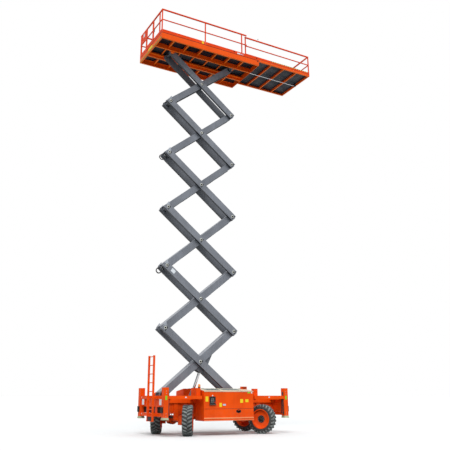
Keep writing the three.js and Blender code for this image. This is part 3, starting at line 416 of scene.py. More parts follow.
class Kit(Enum):
    """Every finish on the lift."""

    # Painted shade: the chassis orange darkens faces that look down.
    ORANGE = Paint("orange_paint", (0.98, 0.088, 0.0004), mottle=0.10, streaks=0.16, dust=0.10, below_shade=0.8)
    # Painted light: the frame orange is brighter than the chassis orange, and faces that look down get a paler orange.
    FRAME_ORANGE_LIT_BELOW = Paint("frame_orange_lit_below_paint", (1.0, 0.100, 0.0006), mottle=0.08, dust=0.0, streaks=0.12,
                         below_shade=1.0, painted_underside_colour=(1.0, 0.19, 0.012))
    RAIL_ORANGE = Paint("rail_orange_paint", (0.88, 0.060, 0.0002), mottle=0.08, dust=0.0, streaks=0.10)
    # Paler than the body orange: partly the sill's own lighter paint, partly a painted highlight where the sill catches
    # light.
    LIT_SILL_ORANGE = Paint("lit_sill_orange_paint", (1.0, 0.33, 0.13), mottle=0.06, dust=0.1, streaks=0.1)
    # Painted shade on arm faces inside the pack and on faces that look down, and a painted highlight on faces that look
    # up.
    ARM = Paint("arm_paint", (0.215, 0.229, 0.260), roughness=0.48, dust=0.0, streaks=0.3, mottle=0.10,
                specular=0.3, inside_shade=0.38, below_shade=0.93, painted_top_highlight=0.35)
    INNER_ARM = Paint("inner_arm_paint", (0.205, 0.219, 0.250), roughness=0.5, dust=0.0, streaks=0.3, mottle=0.12,
                      specular=0.3, inside_shade=0.3, below_shade=0.93, painted_top_highlight=0.35, open_from=0.16)
    BLACK = Paint("black_paint", (0.014, 0.015, 0.017), roughness=0.5, mottle=0.3, dust=0.2)
    CREAM = Paint("cream_panel", (0.72, 0.66, 0.50), roughness=0.5, mottle=0.08, dust=0.0, streaks=0.3)
    PALE = Paint("pale_plate_paint", (0.42, 0.45, 0.50), roughness=0.5, dust=0.0, streaks=0.3, specular=0.3)
    FOOT = Paint("foot_paint", (0.50, 0.56, 0.36), roughness=0.6, dust=0.5)
    # The tread lugs are paler than the tyre carcass: partly dust, partly a painted highlight on the lugs, with painted
    # shade in the darker grooves.
    TYRE = Rubber("tyre_rubber")
    TREAD = Rubber("tread_rubber", (0.045, 0.047, 0.046), (0.36, 0.39, 0.38), 0.95, 11)
    HOSE = Rubber("hose_rubber", (0.012, 0.012, 0.014), (0.09, 0.09, 0.09), 0.4, 40)
    RED_HOSE = Rubber("red_hose", (0.42, 0.012, 0.016), (0.30, 0.09, 0.08), 0.3, 40)
    CHROME = Metal("rod_chrome", (0.78, 0.79, 0.80), 0.12, stain=0.1)
    ZINC = Metal("zinc_bolts", (0.50, 0.51, 0.50), 0.35, (20, 20, 20), 0.5)
    BRUSH = Metal("pin_bush", (0.62, 0.63, 0.58), 0.4, (25, 25, 25), 0.4)
    TAPE = Tape("warning_tape")
    GRILLE = Grille("hood_mesh")
    DECK = TreadPlate("deck_plate", (0.009, 0.011, 0.015))
    PANEL = Plastic("panel_face", (0.006, 0.005, 0.006), 0.6, coat=0.0)
    WHITE = Plastic("white_plate", (0.78, 0.82, 0.86), 0.4, 0.12)
    YELLOW = Plastic("yellow_plate", (0.95, 0.70, 0.0), 0.5, 0.08, coat=0.0)
    GREEN = Plastic("green_plate", (0.26, 0.62, 0.01), 0.5, 0.08, coat=0.0)
    BLUE = Plastic("pale_blue_plate", (0.50, 0.64, 0.80), 0.45, 0.15)
    RED = Plastic("red_button", (0.62, 0.02, 0.015), 0.3, 0.1)
    AMBER = Plastic("amber_lens", (0.95, 0.30, 0.015), 0.12, 0.05, 0.4)

    @property
    def slot(self) -> str:
        """The record's material slot that the finish usually stands for."""
        return next((slot for slot, names in SLOTS.items() if self.name in names), "orange_paint")


SLOTS = {
    "black_paint": ("BLACK", "PANEL", "RED"), "rod_chrome": ("CHROME", "ZINC"), "deck_plate": ("TAPE",),
    "arm_paint": ("ARM", "INNER_ARM", "BRUSH", "PALE"), "tyre_rubber": ("TYRE", "TREAD"),
    "hose_rubber": ("HOSE", "RED_HOSE"), "beacon_lens": ("AMBER",),
}
_MADE: dict[Kit, bpy.types.Material] = {}


def finish_of(kit: Kit) -> bpy.types.Material:
    """Makes a finish once and returns its material."""
    if kit not in _MADE:
        _MADE[kit] = kit.value.build()
    return _MADE[kit]


# ---------------------------------------------------------------- shapes


class Shape:
    """One piece in the making: solids gathered in a bmesh, then placed, dressed and hung on a body."""

    def __init__(self, name: str) -> None:
        """Starts an empty piece with that name."""
        self.name = name
        self.bm = bmesh.new()

    def _bevel(self, verts: Iterable[bmesh.types.BMVert], width: float, segments: int) -> None:
        """Rounds the sharp edges among some vertices."""
        kept = set(verts)
        edges = [
            edge for edge in self.bm.edges
            if edge.verts[0] in kept and edge.verts[1] in kept
            and len(edge.link_faces) == 2 and edge.calc_face_angle(0.0) > 0.5
        ]
        bmesh.ops.bevel(
            self.bm, geom=edges, offset=width, offset_type="OFFSET", segments=segments, profile=0.5,
            affect="EDGES", clamp_overlap=True, material=-1,
        )

    def block(self, low: Point, high: Point, round_off: float = 0.0, segments: int = 2) -> "Shape":
        """Adds a block between two corners.

        Args:
            low: its lowest corner.
            high: its highest corner.
            round_off: the width of its edge rounding.
            segments: how many steps the rounding has.

        Returns:
            The shape, for chaining.
        """
        size = [high[i] - low[i] for i in range(3)]
        centre = Vector([(high[i] + low[i]) / 2 for i in range(3)])
        matrix = Matrix.Translation(centre) @ Matrix.Diagonal((*size, 1))
        made = bmesh.ops.create_cube(self.bm, size=1.0, matrix=matrix)["verts"]
        if round_off > 0:
            self._bevel(made, round_off, segments)
        return self

    def bar(self, start: Point, end: Point, radius: float, facets: int = 24, round_off: float = 0.0) -> "Shape":
        """Adds a round bar.

        Args:
            start: the middle of its first end.
            end: the middle of its other end.
            radius: its radius.
            facets: how many sides it has.
            round_off: the width of its edge rounding.

        Returns:
            The shape, for chaining.
        """
        first, last = Vector(start), Vector(end)
        run = last - first
        matrix = Matrix.Translation((first + last) / 2) @ run.to_track_quat("Z", "Y").to_matrix().to_4x4()
        made = bmesh.ops.create_cone(
            self.bm, cap_ends=True, segments=facets, radius1=radius, radius2=radius, depth=run.length, matrix=matrix,
        )["verts"]
        if round_off > 0:
            self._bevel(made, round_off, 2)
        return self

    def spun(self, profile: Sequence[tuple[float, float]], steps: int = 48,
             matrix: Optional[Matrix] = None) -> "Shape":
        """Adds a profile of (radius, distance along Y) spun about the Y axis.

        Args:
            profile: the profile's points; it starts and ends on the axis, or closes on itself.
            steps: how many steps the turn has.
            matrix: where the spun shape goes.

        Returns:
            The shape, for chaining.
        """
        made = [self.bm.verts.new((radius, y, 0)) for radius, y in profile]
        edges = [self.bm.edges.new(pair) for pair in zip(made, made[1:])]
        if profile[0][0] > WELD:  # an open middle, so the profile closes on itself
            edges.append(self.bm.edges.new((made[-1], made[0])))
        before = set(self.bm.verts) - set(made)
        bmesh.ops.spin(
            self.bm, geom=made + edges, cent=(0, 0, 0), axis=(0, 1, 0), dvec=(0, 0, 0), angle=math.tau,
            steps=steps, use_merge=True, use_duplicate=False,
        )
        fresh = [vert for vert in self.bm.verts if vert not in before]
        bmesh.ops.remove_doubles(self.bm, verts=fresh, dist=WELD)
        fresh = [vert for vert in self.bm.verts if vert not in before]
        if matrix is not None:
            bmesh.ops.transform(self.bm, matrix=matrix, verts=fresh)
        return self

    def prism(self, outline: Sequence[Point], depth: Point, round_off: float = 0.0) -> "Shape":
        """Adds a flat outline pushed out along a vector.

        Args:
            outline: the outline's corners, in order.
            depth: the push.
            round_off: the width of its edge rounding.

        Returns:
            The shape, for chaining.
        """
        made = [self.bm.verts.new(point) for point in outline]
        face = self.bm.faces.new(made)
        pushed = bmesh.ops.extrude_face_region(self.bm, geom=[face])["geom"]
        moved = [item for item in pushed if isinstance(item, bmesh.types.BMVert)]
        bmesh.ops.translate(self.bm, verts=moved, vec=Vector(depth))
        if round_off > 0:
            self._bevel(made + moved, round_off, 2)
        return self

    def ring_of(self, count: int, build: Callable[["Shape"], None]) -> "Shape":
        """Repeats a small shape round the Y axis.

        Args:
            count: how many there are.
            build: makes the first one, at angle zero.

        Returns:
            The shape, for chaining.
        """
        for index in range(count):
            before = set(self.bm.verts)
            build(self)
            fresh = [vert for vert in self.bm.verts if vert not in before]
            turn = Matrix.Rotation(math.tau * index / count, 3, "Y")
            bmesh.ops.rotate(self.bm, verts=fresh, cent=(0, 0, 0), matrix=turn)
        return self

    def done(self, kit: Kit, body: str, place: Optional[Matrix] = None, replaces: Sequence[str] = (),
             slot: str = "") -> None:
        """Turns the gathered solids into a finished piece.

        Args:
            kit: its finish.
            body: the body it rides on.
            place: the matrix that puts it in the frame.
            replaces: the CAD nodes that it stands for.
            slot: the record's material slot, where it isn't the finish's usual one; not used.
        """
        bmesh.ops.recalc_face_normals(self.bm, faces=self.bm.faces[:])
        if place is not None:
            bmesh.ops.transform(self.bm, matrix=place, verts=self.bm.verts[:])
        mesh = bpy.data.meshes.new(self.name)
        self.bm.to_mesh(mesh)
        self.bm.free()
        hang(self.name, mesh, kit, body, replaces)


def hang(name: str, mesh: bpy.types.Mesh, kit: Kit, body: str,
         replaces: Sequence[str] = ()) -> None:
    """Links a mesh as a smooth, dressed piece that rides on a body.

    Args:
        name: the piece's name.
        mesh: its mesh, already in place.
        kit: its finish.
        body: the body it rides on.
        replaces: the CAD nodes that it stands for.
    """
    for polygon in mesh.polygons:
        polygon.use_smooth = True
    mesh.set_sharp_from_angle(angle=SMOOTH_BELOW)
    mesh.materials.append(finish_of(kit))
    piece = put(name, mesh)
    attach(piece, body)
    if replaces:
        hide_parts(*replaces)


def hose(name: str, points: Sequence[Point], radius: float, kit: Kit, body: str,
         replaces: Sequence[str] = ()) -> None:
    """Makes a smooth round hose or pipe through some points.

    Args:
        name: the piece's name.
        points: the points that it passes.
        radius: its radius.
        kit: its finish.
        body: the body it rides on.
        replaces: the CAD nodes that it stands for.
    """
    curve = bpy.data.curves.new(name, "CURVE")
    curve.dimensions = "3D"
    curve.bevel_depth = radius
    curve.bevel_resolution = 4
    curve.use_fill_caps = True
    spline = curve.splines.new("BEZIER")
    spline.bezier_points.add(len(points) - 1)
    for point, where in zip(spline.bezier_points, points):
        point.co = where
        point.handle_left_type = point.handle_right_type = "AUTO"
    spline.resolution_u = 8
    maker = put(name + "_route", curve)
    bpy.context.view_layer.update()
    mesh = bpy.data.meshes.new_from_object(maker.evaluated_get(bpy.context.evaluated_depsgraph_get()))
    bpy.data.objects.remove(maker)
    mesh.materials.clear()
    hang(name, mesh, kit, body, replaces)


def dress(node: str, kit: Kit) -> None:
    """Gives a carried-over CAD node its finish."""
    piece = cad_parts[node]
    piece.data.materials.clear()
    piece.data.materials.append(finish_of(kit))


def soften(node: str, width: float) -> None:
    """Rounds a carried-over CAD node's sharp edges with a modifier.

    Args:
        node: the node's name.
        width: the rounding's width.
    """
    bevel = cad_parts[node].modifiers.new("edge_rounding", "BEVEL")
    bevel.width = width
    bevel.segments = 2
    bevel.limit_method = "ANGLE"
    bevel.angle_limit = ROUND_ABOVE
    bevel.use_clamp_overlap = True


def label(name: str, low: Point, high: Point, kit: Kit, body: str) -> None:
    """Adds a thin blank plate or sticker with slightly rounded edges."""
    Shape(name).block(low, high, 0.0006, 1).done(kit, body)


# ---------------------------------------------------------------- wheels


@dataclass
class Wheel:
    """A lugged tyre on a deep dished rim with a bolted hub."""

    end: str
    side: str
    radius: float = 0.4975
    half_width: float = 0.1775
    bead: float = 0.3125
    centre: float = 0.228  # wheel centre plane outboard of the kingpin
    kingpin_y: float = 0.759
    steer: dict[str, float] = field(default_factory=lambda: {"left": 60.0, "right": -55.0})
    lugs: int = 24

    @property
    def tag(self) -> str:
        """The end of its pieces' names."""
        return f"{self.end}_{self.side}"

    def place(self) -> Matrix:
        """Where the wheel's own frame goes: its kingpin at the origin and -Y outboard."""
        side = SIDES[self.side]
        x = along_x(ENDS[self.end] * AXLE_X)
        angle = math.radians(self.steer[self.end] + (180 if side > 0 else 0))
        move = Matrix.Translation((x, side * self.kingpin_y, WHEEL_HEIGHT))
        return move @ Matrix.Rotation(angle, 4, "Z") @ Matrix.Translation((0, -self.centre, 0))

    def carcass(self) -> None:
        """Spins the tyre's carcass with rounded shoulders and sidewall rings."""
        half = self.half_width
        crown = self.radius - 0.027
        right = [
            (self.bead, half - 0.012), (self.bead + 0.022, half - 0.010), (self.bead + 0.040, half - 0.004),
            (self.bead + 0.046, half - 0.0015), (self.bead + 0.054, half - 0.005), (self.bead + 0.085, half - 0.001),
            (self.bead + 0.092, half - 0.006), (self.bead + 0.125, half - 0.012), (crown - 0.012, half - 0.030),
            (crown, half - 0.062),
        ]
        loop = right + [(radius, -y) for radius, y in reversed(right)]
        name = f"tyre_{self.tag}"
        Shape(name).spun(loop, 64).done(Kit.TYRE, f"wheel_{self.tag}", self.place(), (name,))

    def tread(self) -> None:
        """Adds two rows of slanted lugs that meet in a chevron and fold over the shoulders."""
        half, top = self.half_width, self.radius
        base = top - 0.034
        thick = 0.052

        def lug(shape: Shape, side: int, phase: float) -> None:
            """Makes one lug on one side of the middle."""
            outline = [
                (side * 0.004, base), (side * 0.004, top), (side * (half - 0.048), top - 0.002),
                (side * (half - 0.018), top - 0.016), (side * (half - 0.001), top - 0.052),
                (side * (half - 0.0005), top - 0.086), (side * (half - 0.022), top - 0.086),
                (side * (half - 0.050), base - 0.010),
            ]
            before = set(shape.bm.verts)
            shape.prism([(-thick / 2, y, z) for y, z in outline], (thick, 0, 0), 0.005)
            fresh = [vert for vert in shape.bm.verts if vert not in before]
            slant = Matrix.Identity(4)
            slant[0][1] = side * 0.42
            bmesh.ops.transform(shape.bm, matrix=slant, verts=fresh)
            bmesh.ops.rotate(shape.bm, verts=fresh, cent=(0, 0, 0), matrix=Matrix.Rotation(phase, 3, "Y"))

        shape = Shape(f"tread_{self.tag}")
        step = math.tau / self.lugs
        shape.ring_of(self.lugs, lambda made: lug(made, 1, 0.0))
        shape.ring_of(self.lugs, lambda made: lug(made, -1, step / 2))
        shape.done(Kit.TREAD, f"wheel_{self.tag}", self.place())

    def rim(self) -> None:
        """Spins the dished rim with its rolled flanges."""
        disc = 0.072
        flange = self.bead + 0.021
        profile = [
            (0.050, -disc), (0.285, -disc), (0.297, -disc + 0.012), (0.300, 0.120), (0.305, 0.176),
            (flange, 0.176), (flange + 0.002, 0.172), (flange, 0.168), (self.bead + 0.003, 0.165),
            (self.bead - 0.001, 0.150), (self.bead - 0.001, -0.158), (self.bead + 0.004, -0.165),
            (flange, -0.168), (flange + 0.002, -0.173), (flange, -0.1768), (0.312, -0.1765), (0.303, -0.172),
            (0.298, -0.150), (0.286, -0.118), (0.262, -0.098), (0.225, -0.091), (0.150, -0.090), (0.050, -0.090),
        ]
        name = f"rim_{self.tag}"
        Shape(name).spun(profile, 64).done(Kit.ORANGE, f"wheel_{self.tag}", self.place(), (name,))

    def hub(self) -> None:
        """Adds the black hub with its cap, and the ring of wheel nuts."""
        profile = [
            (0, -0.060), (0.128, -0.060), (0.128, -0.100), (0.120, -0.106), (0.088, -0.108), (0.082, -0.130),
            (0.074, -0.138), (0.040, -0.139), (0.036, -0.146), (0, -0.147),
        ]
        body = f"wheel_{self.tag}"
        Shape(f"hub_{self.tag}").spun(profile, 40).done(Kit.BLACK, body, self.place())
        nuts = Shape(f"wheel_nuts_{self.tag}")
        nuts.ring_of(10, lambda made: made.bar((0.105, -0.100, 0), (0.105, -0.124, 0), 0.011, 6, 0.0015))
        nuts.ring_of(10, lambda made: made.bar((0.105, -0.120, 0), (0.105, -0.132, 0), 0.006, 10))
        nuts.done(Kit.ZINC, body, self.place())

    def build(self) -> None:
        """Makes the whole wheel."""
        self.carcass()
        self.tread()
        self.rim()
        self.hub()
        LOG.info("wheel %s %s: tyre, tread, rim, hub and nuts", self.end, self.side)


# ---------------------------------------------------------------- chassis


@dataclass
class Chassis:
    """Frame, bulkheads, outriggers, axles and ladder, with their lamps, plates and bolts."""

    post_y: float = 1.032
    post_half: float = 0.090
    post_top: float = 1.556
    post_bottom: float = 0.600
    axle_radius: float = 0.12
    screen_x: int = 2380  # where the bulkheads' screens meet their ribs, in mm from the middle of the wheelbase
    lamp_depth: float = 0.048
    lens_depth: float = 0.004

    def dress_nodes(self) -> None:
        """Gives the CAD nodes their finishes."""
        for node in ("chassis_frame", "bulkhead_left", "bulkhead_right", "ladder", "axle_left", "axle_right"):
            dress(node, Kit.ORANGE)
        for end in ENDS:
            for side in SIDES:
                dress(f"outrigger_leg_{end}_{side}", Kit.FOOT)
                dress(f"knuckle_{end}_{side}", Kit.ORANGE)
        dress("engine_block", Kit.BLACK)

    def posts(self) -> None:
        """Adds caps, bolts, jack hoses, lamps and stickers to the four corner posts."""
        for end, left in ENDS.items():
            for side, near in SIDES.items():
                x, y, half = along_x(left * OUTRIGGER_X), near * self.post_y, self.post_half
                tag = f"{end}_{side}"
                cap = Shape(f"post_cap_{tag}").block(
                    (x - half + 0.004, y - half + 0.004, self.post_top - 0.002),
                    (x + half - 0.004, y + half - 0.004, self.post_top + 0.0005), 0.001)
                cap.bar((x, y, self.post_top - 0.003), (x, y, self.post_top + 0.0004), 0.02, 12)
                cap.done(Kit.ORANGE, "chassis")
                outer = y + near * half
                bolts = Shape(f"post_bolts_{tag}")
                for z in (0.65, 0.72, 1.36, 1.44):
                    bolts.bar((x, outer, z), (x, outer + near * 0.006, z), 0.012, 6, 0.001)
                bolts.done(Kit.ZINC, "chassis")
                # Painted shade: the black jack hose beside each post stands in for the dark shadow gap seen beside the
                # post.
                jack = Shape(f"jack_hose_{tag}")
                side_x = x - left * (half + 0.023)
                side_y = y + near * 0.042
                jack.bar((side_x, side_y, self.post_bottom + 0.04), (side_x, side_y, 1.42), 0.020, 20, 0.003)
                for z in (self.post_bottom + 0.09, 0.93, 1.37):
                    jack.block((side_x - 0.024, side_y - 0.026, z), (side_x + 0.024, side_y + 0.026, z + 0.03), 0.004)
                jack.done(Kit.HOSE, "chassis", slot="black_paint")
                low, high = sorted((outer, outer + near * 0.0015))
                label(f"post_sticker_{tag}", (x - 0.035, low, 1.16), (x + 0.035, high, 1.29), Kit.GREEN, "chassis")
        for side, near in SIDES.items():
            for end, left in ENDS.items():
                face = along_x(left * OUTRIGGER_X) + left * self.post_half
                self.lamp(f"{end}_{side}", face, near * self.post_y, left)

    def lamp(self, tag: str, face_x: float, y: float, way: int) -> None:
        """Adds a black lamp housing with a lens on a post's end face.

        Args:
            tag: the end of its name.
            face_x: the post face it sits on.
            y: its middle across the lift.
            way: which way along X it faces.
        """
        front = face_x + way * self.lamp_depth
        low, high = sorted((face_x, front))
        Shape(f"lamp_{tag}").block((low, y - 0.055, 0.745), (high, y + 0.055, 0.935), 0.006).done(Kit.PANEL, "chassis")
        low, high = sorted((front, front + way * self.lens_depth))
        lens = Shape(f"lamp_lens_{tag}").block((low, y - 0.038, 0.785), (high, y + 0.038, 0.895), 0.002)
        lens.done(Kit.PANEL, "chassis")

    def plates(self) -> None:
        """Adds the blank plates and stickers on the ladder end and the side beams."""
        left, back = along_x(-2490), along_x(-2450)
        for tag, y0, y1 in (("a", -0.86, -0.66), ("b", 0.66, 0.86)):
            label(f"end_plate_{tag}", (left - 0.0015, y0, 0.99), (left + 0.001, y1, 1.18), Kit.WHITE, "chassis")
            Shape(f"end_plate_back_{tag}").block(
                (left, y0 - 0.01, 0.98), (back, y1 + 0.01, 1.19), 0.002).done(Kit.ORANGE, "chassis")
        for tag, y, z in (("a", 0.90, 1.21), ("b", -0.93, 1.21), ("c", -0.93, 0.66), ("d", 0.88, 0.66)):
            label(f"end_sticker_{tag}", (left - 0.0015, y - 0.02, z), (left + 0.001, y + 0.02, z + 0.05),
                  Kit.WHITE, "chassis")
        for tag, left in (("a", -1), ("b", 1)):
            x = along_x(left * AXLE_X)
            label(f"beam_sticker_{tag}", (x - 0.03, -1.1120, 1.222), (x + 0.03, -1.1095, 1.262), Kit.WHITE, "chassis")

    def skirts(self) -> None:
        """Adds the deep plates inside the wheel bays, the screens behind the bulkheads, the black one at the ladder end
        being painted shade, and the ladder's foot.
        """
        for end, left in ENDS.items():
            low, high = sorted((along_x(left * (self.screen_x + 4)), along_x(-1400 if left < 0 else 1040)))
            plates = Shape(f"bay_plates_{end}")
            for near in SIDES.values():
                inner, outer = span(near, 0.302, 0.311)
                plates.block((low, inner, 0.70), (high, outer, 1.052), 0.002)
            plates.done(Kit.ORANGE, "chassis")
            low, high = sorted((along_x(left * (self.screen_x - 6)), along_x(left * self.screen_x)))
            # At the ladder end the screen is black: painted shade for the dark seen into the opening there; at the
            # other end it is orange.
            screen = Shape(f"bulkhead_screen_{end}").block((low, -0.93, 0.732), (high, 0.93, 1.05), 0.002)
            screen.done(Kit.BLACK if left < 0 else Kit.ORANGE, "chassis")
            low, high = sorted((along_x(left * self.screen_x), along_x(left * (self.screen_x + 12))))
            ribs = Shape(f"bulkhead_ribs_{end}")
            for y in (-0.62, -0.12, 0.12, 0.62):
                ribs.block((low, y - 0.04, 0.730), (high, y + 0.04, 1.06), 0.003)
            ribs.done(Kit.ORANGE, "chassis")
        foot = Shape("ladder_foot").block(
            (along_x(-2668), -0.440, 0.462), (along_x(-2602), -0.050, 0.476), 0.003)
        foot.block((along_x(-2668), -0.440, 0.62), (along_x(-2602), -0.050, 0.63), 0.003)
        foot.done(Kit.ORANGE, "chassis")
        Shape("ladder_box").block((along_x(-2660), -0.42, 0.478), (along_x(-2610), -0.07, 0.618), 0.006).done(
            Kit.PANEL, "chassis")

    def running_gear(self) -> None:
        """Adds differential covers, bolts, drive shafts and steering rams to the axles."""
        for end, left in ENDS.items():
            x, z = along_x(left * AXLE_X), WHEEL_HEIGHT
            cover = Shape(f"axle_cover_{end}")
            cover.bar((x - 0.16, 0, z), (x + 0.16, 0, z), self.axle_radius, 32, 0.015)
            cover.bar((x - left * 0.16, 0, z), (x - left * 0.24, 0, z), 0.06, 24, 0.006)
            cover.done(Kit.ORANGE, "chassis")
            studs = Shape(f"axle_studs_{end}")
            for index in range(12):
                angle = math.tau * index / 12
                y, dz = 0.102 * math.cos(angle), 0.102 * math.sin(angle)
                studs.bar((x + left * 0.155, y, z + dz), (x + left * 0.17, y, z + dz), 0.009, 6)
            studs.done(Kit.ZINC, "chassis")
            ram = Shape(f"steering_ram_{end}")
            ram.bar((x + left * 0.13, -0.30, z + 0.09), (x + left * 0.13, 0.30, z + 0.09), 0.035, 24, 0.004)
            ram.done(Kit.BLACK, "chassis")
            hose(f"axle_hose_{end}", [
                (x + left * 0.13, -0.28, z + 0.12), (x + left * 0.13, -0.26, z + 0.22),
                (x + left * 0.06, -0.22, z + 0.40), (x, -0.24, z + 0.52), (x - left * 0.05, -0.305, z + 0.57),
            ], 0.011, Kit.HOSE, "chassis")
        shaft = Shape("drive_shaft")
        for x0, x1 in ((-1460, -1350), (1460, 990)):
            shaft.bar((along_x(x0), 0, WHEEL_HEIGHT), (along_x(x1), 0, 0.56), 0.035, 20, 0.004)
        shaft.done(Kit.BLACK, "chassis")

    def cables(self) -> None:
        """Adds the hoses behind the near post and below the side beam."""
        for end, left in ENDS.items():
            x = along_x(left * 2330)
            hose(f"post_cable_{end}", [
                (x, -0.99, 1.26), (x - left * 0.010, -0.995, 1.10), (x - left * 0.006, -0.99, 0.90),
                (x - left * 0.012, -0.98, 0.74), (x - left * 0.004, -0.95, 0.69),
            ], 0.013, Kit.HOSE, "chassis")

    def beacon(self) -> None:
        """Replaces the beacon with a ribbed amber lens on a black base."""
        low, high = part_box("beacon")
        x, y = (low[0] + high[0]) / 2, (low[1] + high[1]) / 2
        place = Matrix.Translation((x, y, low[2])) @ Matrix.Rotation(math.pi / 2, 4, "X")
        tall = high[2] - low[2]
        lens = [
            (0, 0.030), (0.043, 0.030), (0.047, 0.034), (0.046, 0.050), (0.0475, 0.054), (0.045, 0.072),
            (0.0465, 0.076), (0.043, 0.094), (0.044, 0.098), (0.036, 0.116), (0.022, tall - 0.003), (0, tall),
        ]
        base = [(0, 0.001), (0.047, 0.001), (0.047, 0.018), (0.042, 0.030), (0, 0.030)]
        Shape("beacon_lens").spun(lens, 40).done(Kit.AMBER, "chassis", place, ("beacon",))
        Shape("beacon_base").spun(base, 32).done(Kit.PANEL, "chassis", place)

    def build(self) -> None:
        """Makes everything on the chassis."""
        self.dress_nodes()
        self.posts()
        self.plates()
        self.skirts()
        self.running_gear()
        self.cables()
        self.beacon()
        LOG.info("chassis: posts, lamps, plates, running gear, cables and beacon")


# ---------------------------------------------------------------- pods


@dataclass
class Pod:
    """A side pod: tray, hinged hood with a pale top, seam, hinges and blank plates."""

    side: str
    half_length: float = 1.008
    trim_x: float = 1004  # half the length of the strips on the front, in mm
    plate: float = 0.002  # how far a blank plate stands proud
    front: float = 1.120
    inner: float = 0.489
    front_top: float = 1.450
    back_top: float = 1.540
    seam: float = 0.867

    @property
    def sign(self) -> int:
        """Which way along Y this pod faces."""
        return SIDES[self.side]

    def on_front(self, x: float, z: float, width: float, height: float) -> tuple[Point, Point]:
        """The two corners of a thin plate on the front face.

        Args:
            x: the plate's middle along the pod.
            z: its lower edge.
            width: its width.
            height: its height.

        Returns:
            Its lowest and highest corners.
        """
        low, high = span(self.sign, self.front, self.front + self.plate)
        middle = x + SHIFT_X
        return (middle - width / 2, low, z), (middle + width / 2, high, z + height)

    def top(self) -> None:
        """Adds the pale top panel with two mesh inserts, following the slope of the hood."""
        s = self.sign
        rise = (self.back_top - self.front_top) / (self.front - self.inner)

        def slope(y: float, lift: float) -> float:
            """The height of the sloping top at a distance from the middle."""
            return self.back_top - (y - self.inner) * rise + lift

        def panel(name: str, x0: float, x1: float, y0: float, y1: float, lift: float, thick: float, kit: Kit) -> None:
            """Adds one flat panel on the slope."""
            outline = [
                (x0, s * y0, slope(y0, lift)), (x1, s * y0, slope(y0, lift)),
                (x1, s * y1, slope(y1, lift)), (x0, s * y1, slope(y1, lift)),
            ]
            Shape(name).prism(outline, (0, 0, thick), 0.0012).done(kit, f"hood_{self.side}")

        tag = self.side
        panel(f"hood_top_{tag}", along_x(-1000), along_x(1000), self.inner + 0.03, self.front - 0.006, 0.0003, 0.004,
              Kit.CREAM)
        for index, (x0, x1) in enumerate(((-820, -240), (-130, 600))):
            panel(f"hood_mesh_{tag}_{index}", along_x(x0), along_x(x1), self.inner + 0.12, self.front - 0.14, 0.0045,
                  0.003, Kit.GRILLE)
        bolts = Shape(f"hood_screws_{tag}")
        for x in range(-940, 961, 188):
            for y in (self.inner + 0.06, self.front - 0.05):
                z = slope(y, 0.0035)
                bolts.bar((along_x(x), s * y, z), (along_x(x), s * y, z + 0.004), 0.009, 8)
        bolts.done(Kit.ZINC, f"hood_{tag}")

    def front_trim(self) -> None:
        """Adds the drip edge, the paler sill with its painted highlight, seam, latch recess drawn in painted shade with
        its grip, and rivets on the front face.
        """
        s, tag = self.sign, self.side
        start, end = along_x(-self.trim_x), along_x(self.trim_x)
        low, high = span(s, self.front - 0.002, self.front + 0.010)
        edge = Shape(f"hood_drip_edge_{tag}").block(
            (start, low, self.front_top - 0.028), (end, high, self.front_top - 0.006), 0.003)
        edge.done(Kit.CREAM, f"hood_{tag}")
        low, high = span(s, self.front - 0.002, self.front + 0.014)
        # The sill is painted paler, partly as a painted highlight along it.
        sill = Shape(f"pod_sill_{tag}").block((start, low, 0.536), (end, high, 0.580), 0.005)
        sill.block((start, low, 0.474), (end, high, 0.494), 0.005).done(Kit.LIT_SILL_ORANGE, "chassis")
        low, high = span(s, self.front - 0.002, self.front + 0.0015)
        Shape(f"pod_seam_{tag}").block(
            (along_x(-1006), low, self.seam - 0.009), (along_x(1006), high, self.seam - 0.001), 0.0005, 1,
        ).done(Kit.BLACK, "chassis")
        # Painted shade: the latch recess is three black discs standing just proud of the front, dark for the hollow.
        recess = Shape(f"pod_recess_painted_shade_{tag}")
        low, high = span(s, self.front - 0.004, self.front + 0.003)
        for x, radius in ((332, 0.050), (382, 0.062), (432, 0.050)):
            recess.bar((along_x(x), low, 0.775), (along_x(x), high, 0.775), radius, 32, 0.001)
        recess.done(Kit.PANEL, "chassis")
        grip = Shape(f"pod_grip_{tag}").block(
            (along_x(352), low - 0.003, 0.79), (along_x(412), high + 0.003, 0.802), 0.003)
        grip.done(Kit.ORANGE, "chassis")
        rivets = Shape(f"pod_rivets_{tag}")
        for x in range(-960, 961, 160):
            rivets.bar((along_x(x), s * self.front, 0.620), (along_x(x), s * (self.front + 0.003), 0.620), 0.006, 8)
        rivets.done(Kit.ORANGE, "chassis")

    def stickers(self) -> None:
        """Adds the blank plates on the front of the near pod."""
        left = -self.half_length
        rows = (
            ("yellow_a", 0.115, 1.10, 0.11, 0.17, Kit.YELLOW), ("yellow_b", 0.66, 0.925, 0.10, 0.13, Kit.YELLOW),
            ("blue_a", 0.81, 0.965, 0.12, 0.055, Kit.BLUE), ("yellow_c", 1.52, 1.055, 0.12, 0.125, Kit.YELLOW),
            ("yellow_d", 1.74, 1.075, 0.13, 0.095, Kit.YELLOW), ("green_a", 1.83, 1.375, 0.12, 0.045, Kit.GREEN),
        )
        for name, x, z, width, height, kit in rows:
            low, high = self.on_front(left + x, z, width, height)
            label(f"hood_plate_{name}", low, high, kit, f"hood_{self.side}")
        x = (left + 1.945) + SHIFT_X
        dot = Shape("hood_dot_white").bar((x, -self.front, 1.395), (x, -self.front - 0.004, 1.395), 0.028, 24, 0.001)
        dot.done(Kit.WHITE, f"hood_{self.side}")

    def outlet(self) -> None:
        """Adds the grille on the orange outlet at the right end of the near hood."""
        louvres = Shape("outlet_louvres")
        for index in range(5):
            z = self.back_top - 0.006 + index * 0.014
            louvres.block((along_x(815), -0.7035, z), (along_x(985), -0.6990, z + 0.007), 0.001, 1)
        louvres.done(Kit.BLACK, f"hood_{self.side}")

